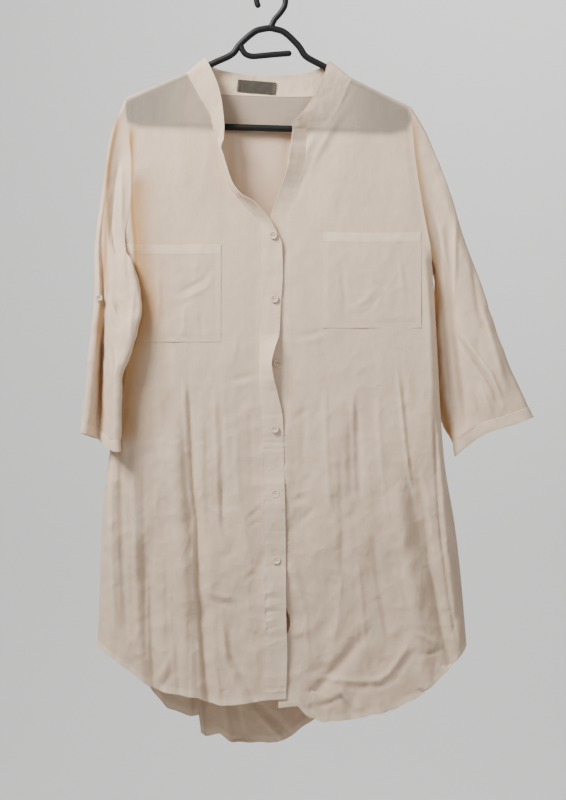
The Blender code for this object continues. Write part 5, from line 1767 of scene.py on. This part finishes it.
def cuff_piece(side, band_rows):
    """Make one cuff from its rows of points, as doubled cloth."""
    cuff = refine(band_rows, CUFF_STEP, closed=True)
    inset = np.minimum(distance_from(cuff, 1, False), distance_from(cuff, 1, True))
    lift = rippled(cuff, CUFF_RIPPLES) + puckered(cuff, CUFF_PUCKERS)
    lift += CUFF_STAND * ramp(inset / CUFF_ROUND)
    lift -= CUFF_DENT * np.exp(-((inset - CUFF_STITCHES) / CUFF_DENT_WIDTH) ** 2)
    cuff = cuff + surface_normals(cuff, True, None) * lift[..., None]
    normals = surface_normals(cuff, True, None)
    # Paler doubled cloth, with a painted highlight along the cuff's rims
    masks = masked(CUFF_TONE + CUFF_RIM_TONE * np.exp(-inset / CUFF_RIM_WIDTH))
    built = cloth_shell("cloth_cuff_" + side, cuff, normals, BAND_THICKNESS, True, masks)
    finish(built, materials["band"], ("cuff_" + side,))
    sew(cuff, normals, CUFF_BORDERS)
    return built


def sleeve_pieces(side, mirror, front_column, back_column, rings, cuff_end, creases, glows):
    """Make one sleeve and its cuff."""
    grid = sleeve_grid(front_column, back_column, rings + (cuff_end,))
    bottom = grid.pop()
    middle = [lerp(start, end, 0.5) for start, end in zip(grid[-1], bottom)]
    sleeve = sleeve_piece(side, mirror, [list(line) for line in zip(*grid)], creases, glows)
    cuff = cuff_piece(side, [list(line) for line in zip(grid[-1], middle, bottom)])
    return sleeve, cuff


# ---------------------------------------------------------------------------------------
# Materials
# ---------------------------------------------------------------------------------------

class Wire:
    """A node's output, with the arithmetic of a shader written as plain sums."""

    def __init__(self, graph, socket):
        self.graph = graph
        self.socket = socket

    def __add__(self, other):
        return self.graph.maths("ADD", self, other)

    def __radd__(self, other):
        return self.graph.maths("ADD", other, self)

    def __sub__(self, other):
        return self.graph.maths("SUBTRACT", self, other)

    def __mul__(self, other):
        return self.graph.maths("MULTIPLY", self, other)


class Graph:
    """The nodes of one material."""

    def __init__(self, name):
        self.material = bpy.data.materials.new(name)
        self.material.use_nodes = True
        self.tree = self.material.node_tree
        self.shader = self.tree.nodes["Principled BSDF"]
        self.output = self.tree.nodes["Material Output"]

    def node(self, kind, settings=None, values=None):
        """Add a node: its settings first, then its values and links by socket name."""
        node = self.tree.nodes.new(kind)
        for key, value in (settings or {}).items():
            setattr(node, key, value)
        for key, value in (values or {}).items():
            self.feed(node, key, value)
        return node

    def feed(self, node, key, value):
        """Link a wire or set a value on a node's input."""
        socket = node.inputs[key] if isinstance(key, int) else next(
            item for item in node.inputs if key in (item.identifier, item.name))
        if isinstance(value, Wire):
            self.tree.links.new(value.socket, socket)
        else:
            socket.default_value = value

    def wire(self, node, output=0):
        """Return one of a node's outputs."""
        return Wire(self, node.outputs[output])

    def maths(self, operation, *values):
        """Return the result of one operation on its values."""
        node = self.node("ShaderNodeMath", {"operation": operation}, dict(enumerate(values)))
        return self.wire(node)

    def mix(self, factor, low, high):
        """Return a colour between two."""
        node = self.node("ShaderNodeMix", {"data_type": "RGBA"},
                         {"Factor_Float": factor, "A_Color": low, "B_Color": high})
        return self.wire(node, "Result")

    def scaled(self, colour, factor):
        """Return a colour made lighter or darker."""
        return self.wire(self.node(
            "ShaderNodeVectorMath", {"operation": "SCALE"}, {0: colour, "Scale": factor}))

    def stretched(self, x, y, z):
        """Return the object's own coordinates, stretched."""
        place = self.wire(self.node("ShaderNodeTexCoord"), "Object")
        node = self.node("ShaderNodeMapping", {}, {"Vector": place, "Scale": (x, y, z)})
        return self.wire(node)

    def noise(self, vector, scale, detail):
        """Return smooth noise."""
        values = {"Vector": vector, "Scale": scale, "Detail": detail}
        return self.wire(self.node("ShaderNodeTexNoise", {}, values), "Fac")

    def ridges(self, vector, scale, detail):
        """Return sharp soft-sided ridges, as in crumpled cloth."""
        node = self.node("ShaderNodeTexNoise", {"noise_type": "RIDGED_MULTIFRACTAL"},
                         {"Vector": vector, "Scale": scale, "Detail": detail, "Roughness": 0.35,
                          "Lacunarity": 2.0, "Offset": 0.9, "Gain": 1.5})
        return self.wire(node, "Fac")

    def attribute(self, name):
        """Return one of the masks that the mesh holds."""
        return self.wire(self.node("ShaderNodeAttribute", {"attribute_name": name}), "Fac")

    def finish(self, **values):
        """Feed the shader, its sockets named with underscores, and return the material."""
        for key, value in values.items():
            self.feed(self.shader, key.replace("_", " "), value)
        return self.material


def woven_bump(graph, strength, distance):
    """Return the normal of a crumpled plain weave, and the tone of its two yarns' slubs."""
    crumple = graph.ridges(graph.stretched(1.0, 1.0, 0.42), CRUMPLE_SCALE, 2.0)
    nicks = graph.ridges(graph.stretched(0.8, 1.0, 1.0), NICK_SCALE, 2.0)
    loose = graph.attribute("hang") * 0.7 + 0.3
    folds = graph.node("ShaderNodeBump", {}, {
        "Strength": 1.0, "Distance": CRUMPLE_DEPTH, "Height": (crumple + nicks * 0.2) * loose})
    upright = graph.noise(graph.stretched(1.0, 1.0, SLUB_STRETCH), YARN_SCALE, 2.0)
    level = graph.noise(graph.stretched(SLUB_STRETCH, 1.0, 1.0), YARN_SCALE, 2.0)
    soft = graph.noise(graph.stretched(1.0, 1.0, 0.5), SOFT_SCALE, 2.0)
    height = upright * 0.5 + level * 0.5 + soft * 0.8
    node = graph.node("ShaderNodeBump", {}, {
        "Strength": strength, "Distance": distance, "Height": height, "Normal": graph.wire(folds)})
    return graph.wire(node), upright + level - 1.0


def cloth_material(name, colour, light_colour, through):
    """Return the shirt's thin matte cloth, which lets part of the light through."""
    graph = Graph(name)
    normal, yarns = woven_bump(graph, 0.35, 0.0006)
    drift = graph.noise(graph.stretched(1.0, 1.0, 0.6), DRIFT_SCALE, 2.0) - 0.5
    mottle = graph.noise(graph.stretched(1.0, 1.0, 0.7), MOTTLE_SCALE, 3.0) - 0.5
    # Painted shade: the cloth grows darker towards the bottom of the skirt
    depth = graph.attribute("hang") * SKIRT_SHADE
    tone = 1.0 + yarns * 0.12 + drift * 0.14 + mottle * 0.12 - depth
    # Painted highlight, painted glow and painted shade, mixed into the cloth's colour
    tint = graph.mix(graph.attribute("light"), (*colour, 1), (*light_colour, 1))
    tint = graph.mix(graph.attribute("painted_glow"), tint, (*PAINTED_GLOW_COLOUR, 1))
    tint = graph.mix(graph.attribute("shade") * 0.95, tint, (*SHADE_COLOUR, 1))
    graph.finish(Base_Color=graph.scaled(tint, tone), Roughness=0.9, Normal=normal,
                 Sheen_Weight=0.12, Sheen_Roughness=0.5, Specular_IOR_Level=0.2)
    glow = graph.node("ShaderNodeBsdfTranslucent", {}, {"Color": (*THROUGH_COLOUR, 1)})
    both = graph.node("ShaderNodeMixShader", {}, {0: through})
    graph.tree.links.new(graph.shader.outputs[0], both.inputs[1])
    graph.tree.links.new(glow.outputs[0], both.inputs[2])
    graph.tree.links.new(both.outputs[0], graph.output.inputs["Surface"])
    return graph.material


def plain_material(name, colour, roughness, grain, size, **values):
    """Return a finish with a fine grain in its colour and roughness."""
    graph = Graph(name)
    pattern = graph.noise(graph.stretched(1.0, 1.0, 1.0), size, 3.0) - 0.5
    return graph.finish(Base_Color=graph.scaled(colour, 1.0 + pattern * grain),
                        Roughness=roughness + pattern * 0.15, **values)


def label_material():
    """Return the label's close satin weave, left blank."""
    graph = Graph("label_cloth")
    level = graph.noise(graph.stretched(LABEL_YARN_STRETCH, 1.0, 1.0), LABEL_YARN_SCALE, 1.0)
    upright = graph.noise(graph.stretched(1.0, 1.0, LABEL_YARN_STRETCH), LABEL_YARN_SCALE, 1.0)
    height = level + upright * 0.5
    bump = graph.node(
        "ShaderNodeBump", {}, {"Strength": 0.5, "Distance": 0.0003, "Height": height})
    colour = graph.scaled(LABEL_COLOUR, 0.75 + height * 0.33)
    return graph.finish(
        Base_Color=colour, Roughness=0.6, Normal=graph.wire(bump), Specular_IOR_Level=0.2)


# ---------------------------------------------------------------------------------------
# Sewing, buttons, label and hanger
# ---------------------------------------------------------------------------------------

def stitch_tree():
    """Return the node tree that lays one stitch after another along every path."""
    tree = bpy.data.node_groups.new("row_of_stitches", "GeometryNodeTree")
    tree.interface.new_socket("Paths", in_out="INPUT", socket_type="NodeSocketGeometry")
    for label in ("Pitch", "Length", "Thickness"):
        tree.interface.new_socket(label, in_out="INPUT", socket_type="NodeSocketFloat")
    tree.interface.new_socket("Thread", in_out="INPUT", socket_type="NodeSocketMaterial")
    tree.interface.new_socket("Stitches", in_out="OUTPUT", socket_type="NodeSocketGeometry")
    nodes, links = tree.nodes, tree.links
    enter, leave = nodes.new("NodeGroupInput"), nodes.new("NodeGroupOutput")
    curve = nodes.new("GeometryNodeMeshToCurve")
    spaced = nodes.new("GeometryNodeResampleCurve")
    spaced.mode = "LENGTH"
    tangent = nodes.new("GeometryNodeInputTangent")
    turn = nodes.new("FunctionNodeAlignRotationToVector")
    turn.axis = "Z"
    size = nodes.new("ShaderNodeCombineXYZ")
    bead = nodes.new("GeometryNodeMeshUVSphere")
    bead.inputs["Segments"].default_value = 4
    bead.inputs["Rings"].default_value = 3
    bead.inputs["Radius"].default_value = 0.5
    place = nodes.new("GeometryNodeInstanceOnPoints")
    real = nodes.new("GeometryNodeRealizeInstances")
    paint = nodes.new("GeometryNodeSetMaterial")
    for start, end in (
        (enter.outputs["Paths"], curve.inputs[0]),
        (curve.outputs[0], spaced.inputs["Curve"]),
        (enter.outputs["Pitch"], spaced.inputs["Length"]),
        (tangent.outputs[0], turn.inputs["Vector"]),
        (enter.outputs["Thickness"], size.inputs["X"]),
        (enter.outputs["Thickness"], size.inputs["Y"]),
        (enter.outputs["Length"], size.inputs["Z"]),
        (spaced.outputs[0], place.inputs["Points"]),
        (bead.outputs["Mesh"], place.inputs["Instance"]),
        (turn.outputs[0], place.inputs["Rotation"]),
        (size.outputs[0], place.inputs["Scale"]),
        (place.outputs[0], real.inputs[0]),
        (real.outputs[0], paint.inputs["Geometry"]),
        (enter.outputs["Thread"], paint.inputs["Material"]),
        (paint.outputs[0], leave.inputs[0]),
    ):
        links.new(start, end)
    return tree


def stitches(paths, thread):
    """Make every row of stitches as one plain mesh."""
    mesh = bpy.data.meshes.new("sewing_paths")
    points, edges = [], []
    for path in paths:
        if len(path) < 2:
            continue
        first = len(points)
        points += (path * MM).tolist()
        edges += [(k, k + 1) for k in range(first, len(points) - 1)]
    mesh.from_pydata(points, edges, [])
    guide = bpy.data.objects.new("sewing_paths", mesh)
    bpy.context.scene.collection.objects.link(guide)
    tree = stitch_tree()
    rows = guide.modifiers.new("rows", "NODES")
    rows.node_group = tree
    sizes = {
        "Pitch": STITCH_PITCH * MM,
        "Length": STITCH_LENGTH * MM,
        "Thickness": STITCH_THICKNESS * MM,
        "Thread": thread,
    }
    for item in tree.interface.items_tree:
        if item.name in sizes:
            rows[item.identifier] = sizes[item.name]
    view = bpy.context.evaluated_depsgraph_get()
    made = bpy.data.meshes.new_from_object(guide.evaluated_get(view))
    bpy.data.objects.remove(guide)
    made.name = "stitches"
    made.shade_smooth()
    return finish(bpy.data.objects.new("stitches", made), None)


def skinned(name, rings, closed, sharp):
    """Return a mesh object: a skin over rings of places, capped at its ends unless closed."""
    mesh_data = bmesh.new()
    rings = [[mesh_data.verts.new(place * MM) for place in ring] for ring in rings]
    count, sides = len(rings), len(rings[0])
    for i in range(count if closed else count - 1):
        near, far = rings[i], rings[(i + 1) % count]
        for k in range(sides):
            after = (k + 1) % sides
            mesh_data.faces.new((near[k], near[after], far[after], far[k]))
    if not closed:
        mesh_data.faces.new(rings[0][::-1])
        mesh_data.faces.new(rings[-1])
    bmesh.ops.recalc_face_normals(mesh_data, faces=mesh_data.faces)
    mesh = bpy.data.meshes.new(name)
    mesh_data.to_mesh(mesh)
    mesh_data.free()
    mesh.shade_smooth()
    mesh.set_sharp_from_angle(angle=math.radians(sharp))
    built = bpy.data.objects.new(name, mesh)
    bpy.context.scene.collection.objects.link(built)
    return built


def lathe(name, profile, sides, place, facing):
    """Return a mesh object turned round an axis: profile is (radius, height) from its back."""
    turned = Vector((0, 0, 1)).rotation_difference(facing)
    rings = []
    for radius, height in profile:
        ring = []
        for k in range(sides):
            angle = 2 * math.pi * k / sides
            local = Vector((radius * math.cos(angle), radius * math.sin(angle), height))
            ring.append(place + turned @ local)
        rings.append(ring)
    return skinned(name, rings, False, 45)


def rod(start, end, radius, name):
    """Return a round rod with soft ends between two points."""
    length = (end - start).length
    narrow, soft = radius * 0.5, radius * 0.6
    profile = ((narrow, 0.0), (radius, soft), (radius, length - soft), (narrow, length))
    return lathe(name, profile, ROD_SIDES, start, (end - start).normalized())


def join(pieces, name):
    """Join several mesh objects into the first one."""
    mesh_data = bmesh.new()
    for piece in pieces:
        mesh_data.from_mesh(piece.data)
    for piece in pieces[1:]:
        bpy.data.objects.remove(piece)
    mesh_data.to_mesh(pieces[0].data)
    mesh_data.free()
    pieces[0].name = name
    return pieces[0]


def drilled(disc, drills):
    """Cut holes through a button with its drills, and remove them."""
    for drill in drills:
        cut = disc.modifiers.new("hole", "BOOLEAN")
        cut.operation = "DIFFERENCE"
        cut.object = drill
    view = bpy.context.evaluated_depsgraph_get()
    made = bpy.data.meshes.new_from_object(disc.evaluated_get(view))
    disc.modifiers.clear()
    disc.data = made
    for drill in drills:
        bpy.data.objects.remove(drill)


def button_piece(name, node, radius):
    """Make a button with a rim and two holes over the CAD one, sewn on with thread."""
    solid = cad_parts[node]
    corners = np.array([solid.matrix_world @ vertex.co for vertex in solid.data.vertices]) / MM
    spread = corners - corners.mean(axis=0)
    facing = Vector(np.linalg.eigh(spread.T @ spread)[1][:, 0])
    if facing.y > 0:
        facing = -facing
    height = max(abs(Vector(row).dot(facing)) for row in spread)
    back = Vector(corners.mean(axis=0)) - facing * height
    profile = [(radius - inset, z) for inset, z in BUTTON_PROFILE]
    profile.append((radius * BUTTON_DIP[0], BUTTON_DIP[1]))
    disc = lathe(name, profile, BUTTON_SIDES, back, facing)
    level = facing.cross(Vector((0, 0, 1))).normalized()
    holes = [back + level * side * radius * HOLE_PLACE for side in (-1, 1)]
    drilled(disc, [
        rod(hole - facing * DRILL_BACK, hole + facing * (DRILL_LENGTH - DRILL_BACK),
            radius * HOLE_RADIUS, "drill")
        for hole in holes
    ])
    finish(disc, materials["button"], (node,))
    strands = []
    for side in (-1, 1):
        offset = facing.cross(level) * side * radius * STRAND_GAP + facing * STRAND_HEIGHT
        strands.append(rod(holes[0] + offset, holes[1] + offset, radius * STRAND_RADIUS, "strand"))
    for hole in holes:
        strands.append(rod(hole - facing * SHANK_BACK, hole + facing * SHANK_FRONT,
                           radius * SHANK_RADIUS, "shank"))
    finish(join(strands, name + "_thread"), materials["thread"])


def tube(name, path, radius, sides, closed):
    """Return a smooth round tube along a path in the hanger's plane, as an object."""
    count = len(path)
    sideways = Vector((0, 1, 0))
    rings = []
    for i, point in enumerate(path):
        before = path[(i - 1) % count] if closed else path[max(i - 1, 0)]
        after = path[(i + 1) % count] if closed else path[min(i + 1, count - 1)]
        upward = (after - before).normalized().cross(sideways).normalized()
        ring = []
        for k in range(sides):
            angle = 2 * math.pi * k / sides
            ring.append(point + (sideways * math.sin(angle) + upward * math.cos(angle)) * radius)
        rings.append(ring)
    return skinned(name, rings, closed, 50)


def denser(path, closed, times=3):
    """Return a path with more points on the same smooth line."""
    if closed:
        around = path + path[:3]
        dense = path_through(around, [times] * (len(around) - 1))
        return dense[times:times * (len(path) + 1)]
    return path_through(path, [times] * (len(path) - 1))


def ball(place, radius):
    """Return a ball that rounds off a tube's end."""
    angles = [math.radians(angle) for angle in TIP_ANGLES]
    profile = [(radius * math.sin(angle), radius * (1 - math.cos(angle))) for angle in angles]
    upward = Vector((0, 0, 1))
    return lathe("hanger_tip", profile, TUBE_SIDES, place - upward * radius, upward)


def hanger_piece():
    """Make the hanger with round tubes and rounded ends."""
    hook_line = hook_path()
    strap_line = [tilted(x, z) for x, z in STRAP_HOOK]
    parts = [
        tube("hanger_loop", denser(hanger_loop(), True), TUBE_RADIUS, TUBE_SIDES, True),
        tube("hanger_hook", denser(hook_line, False), HOOK_RADIUS, TUBE_SIDES, False),
        tube("hanger_strap", denser(strap_line, False), STRAP_HOOK_RADIUS, STRAP_SIDES, False),
        ball(hook_line[0], HOOK_RADIUS),
        ball(strap_line[-1], STRAP_HOOK_RADIUS),
        ball(strap_line[0], STRAP_HOOK_RADIUS),
    ]
    finish(join(parts, "hanger_plastic_body"), materials["hanger"], ("hanger",))


def label_piece(collar_grid):
    """Make the blank label on the inside of the collar's back, its ends folded under."""
    middle_x = (NECK_LABEL.x_start + NECK_LABEL.x_end) / 2
    middle_z = (NECK_LABEL.z_top + NECK_LABEL.z_bottom) / 2
    behind = [row for row in collar_grid if row[0].y > 0]
    seam_y, seam_z, edge_y, edge_z = (
        curve_through([(row[end].x, row[end][axis]) for row in behind])
        for end in (0, -1) for axis in (1, 2)
    )
    cosine, sine = math.cos(LABEL_TILT), math.sin(LABEL_TILT)
    grid = np.zeros((LABEL_COLUMNS, LABEL_ROWS, 3))
    for i, across in enumerate(np.linspace(NECK_LABEL.x_start, NECK_LABEL.x_end, LABEL_COLUMNS)):
        for j, up in enumerate(np.linspace(NECK_LABEL.z_top, NECK_LABEL.z_bottom, LABEL_ROWS)):
            x = middle_x + (across - middle_x) * cosine + (up - middle_z) * sine
            z = middle_z + (up - middle_z) * cosine - (across - middle_x) * sine
            t = (z - seam_z(x)) / (edge_z(x) - seam_z(x))
            grid[i, j] = (x, lerp(seam_y(x), edge_y(x), t) - LABEL_STAND - LABEL_LIFT, z)
    ends = np.minimum(distance_from(grid, 0, False), distance_from(grid, 0, True))
    grid[..., 1] -= LABEL_FOLD_RISE * ramp(LABEL_FOLD - ends)
    grid[..., 1] -= LABEL_BOW * np.sin(np.linspace(0, math.pi, LABEL_ROWS))[None, :]
    grid[..., 1] -= rippled(grid, LABEL_RIPPLES)
    normals = surface_normals(grid, False, (0, -1, 0))
    built = cloth_shell("label_blank", grid, normals, LABEL_THICKNESS, False, {})
    finish(built, materials["label"], ("neck_label",))
    sew(grid, normals, LABEL_BORDERS)
    return built


# ---------------------------------------------------------------------------------------
# Light, floor and camera
# ---------------------------------------------------------------------------------------

def area_light(lamp):
    """Add a soft lamp."""
    light = bpy.data.lights.new(lamp.name, "AREA")
    light.shape = "SQUARE"
    light.size = lamp.size
    light.energy = lamp.power
    light.color = lamp.colour
    holder = bpy.data.objects.new(lamp.name, light)
    holder.location = lamp.place
    aim = Vector(lamp.aim) - Vector(lamp.place)
    holder.rotation_euler = aim.to_track_quat("-Z", "Y").to_euler()
    bpy.context.scene.collection.objects.link(holder)


def backdrop():
    """Add the pale floor that curves up into a wall."""
    section = [(BACKDROP_NEAR, FLOOR_HEIGHT)]
    for degrees in range(0, 91, 5):
        angle = math.radians(degrees)
        section.append((BACKDROP_FAR - BACKDROP_BEND + BACKDROP_BEND * math.sin(angle),
                        FLOOR_HEIGHT + BACKDROP_BEND * (1 - math.cos(angle))))
    section.append((BACKDROP_FAR, BACKDROP_TOP))
    points = [(x, y, z) for y, z in section for x in (-BACKDROP_HALF, BACKDROP_HALF)]
    faces = [(2 * k, 2 * k + 1, 2 * k + 3, 2 * k + 2) for k in range(len(section) - 1)]
    mesh = bpy.data.meshes.new("studio_floor")
    mesh.from_pydata(points, [], faces)
    mesh.shade_smooth()
    mesh.materials.append(plain_material("pale_floor", (0.78, 0.78, 0.775), 0.9, 0.02, 3.0))
    floor = bpy.data.objects.new("studio_floor", mesh)
    bpy.context.scene.collection.objects.link(floor)


def studio():
    """Add the backdrop, the air's light, the lamps and the camera."""
    backdrop()
    world = bpy.data.worlds.new("studio_air")
    world.use_nodes = True
    air = world.node_tree.nodes["Background"]
    air.inputs["Color"].default_value = (0.95, 0.97, 1.0, 1)
    air.inputs["Strength"].default_value = WORLD_STRENGTH
    bpy.context.scene.world = world
    for lamp in LAMPS:
        area_light(lamp)

    camera = bpy.data.cameras.new("camera")
    camera.sensor_width = 36.0
    camera.lens = CAMERA_LENS
    holder = bpy.data.objects.new("camera", camera)
    holder.location = CAMERA_PLACE
    holder.rotation_euler = (math.radians(90), 0, 0)
    bpy.context.scene.collection.objects.link(holder)
    bpy.context.scene.camera = holder


# ---------------------------------------------------------------------------------------
# The whole shirt
# ---------------------------------------------------------------------------------------

materials = {
    "cloth": cloth_material("cloth", CLOTH_COLOUR, PALE_AND_HIGHLIGHT_COLOUR, 0.17),
    "band": cloth_material("placket_cloth", CLOTH_COLOUR, PALE_AND_HIGHLIGHT_COLOUR, 0.12),
    "thread": plain_material("thread", THREAD_COLOUR, 0.7, 0.1, 900.0),
    "button": plain_material("button_plastic", BUTTON_COLOUR, 0.6, 0.16, 260.0,
                             Specular_IOR_Level=0.25),
    "hanger": plain_material("hanger_plastic", HANGER_COLOUR, 0.5, 0.3, 700.0,
                             Specular_IOR_Level=0.3),
    "label": label_material(),
}

right = front_columns(-1, list(RIGHT_NECK), seam_of_top, curve_through(RIGHT_FRONT_HEM),
                      right_front, UNDERARM_RIGHT)
left = front_columns(1, list(LEFT_NECK), seam_of_under, curve_through(LEFT_FRONT_HEM),
                     left_front, UNDERARM_LEFT)
rear = back_columns(list(BACK_NECK))

right_piece, right_points = body_panel(
    "cloth_front_right", right, right_front, -1, PANEL_STEP, RIGHT_FRONT_CREASES,
    RIGHT_FRONT_GLOW, PANEL_BORDERS, (False,))
left_piece, left_points = body_panel(
    "cloth_front_left", left, left_front, -1, PANEL_STEP, LEFT_FRONT_CREASES,
    LEFT_FRONT_GLOW, PANEL_BORDERS, (False,))
back_piece, _ = body_panel(
    "cloth_back", rear, back_face, 1, BACK_STEP, BACK_CREASES, (), BACK_BORDERS,
    (False, True), BACK_HEM_STEPS)

# The plackets start at the panels' own creased edges
top_rows = placket_grid([Vector(point) for point in right_points[-1]], TOP_PLACKET)
under_rows = placket_grid([Vector(point) for point in left_points[-1]], UNDER_PLACKET)
top_piece = band_piece("placket_top", list(zip(*top_rows)), 3.0, PLACKET_CREASES)
under_piece = band_piece("placket_under", list(zip(*under_rows)), 5.0, ())

top_end = placket_grid(right[-1], TOP_PLACKET)[0]
under_end = placket_grid(left[-1], UNDER_PLACKET)[0]
collar_grid = collar_rows(collar_seam(right, left, rear, top_end, under_end))
collar_cloth = collar_piece(collar_grid)

pocket_right = pocket_piece("pocket_right", RIGHT_POCKET, right_front, RIGHT_FRONT_CREASES,
                            RIGHT_POCKET_CREASES, RIGHT_FRONT_GLOW)
pocket_left = pocket_piece("pocket_left", LEFT_POCKET, left_front, LEFT_FRONT_CREASES,
                           LEFT_POCKET_CREASES, LEFT_FRONT_GLOW)

sleeve_right, cuff_right = sleeve_pieces("right", -1, right[0], rear[0], RIGHT_SLEEVE,
                                         RIGHT_CUFF_END, RIGHT_SLEEVE_CREASES, RIGHT_SLEEVE_GLOW)
sleeve_left, cuff_left = sleeve_pieces("left", 1, left[0], rear[-1], LEFT_SLEEVE,
                                       LEFT_CUFF_END, LEFT_SLEEVE_CREASES, LEFT_SLEEVE_GLOW)

label = label_piece(collar_grid)
for number in range(1, 7):
    button_piece("button_%d_horn" % number, "button_%d" % number, BUTTON_RADIUS)
for side in ("right", "left"):
    button_piece("sleeve_button_%s_horn" % side, "sleeve_button_" + side, SLEEVE_BUTTON_RADIUS)
hanger_piece()
stitches(sewing, materials["thread"])

# Each piece of cloth as it was cut: its flat size and area in metres, and what holds it
Cut = namedtuple("Cut", "piece width length area rests_on")

studio()
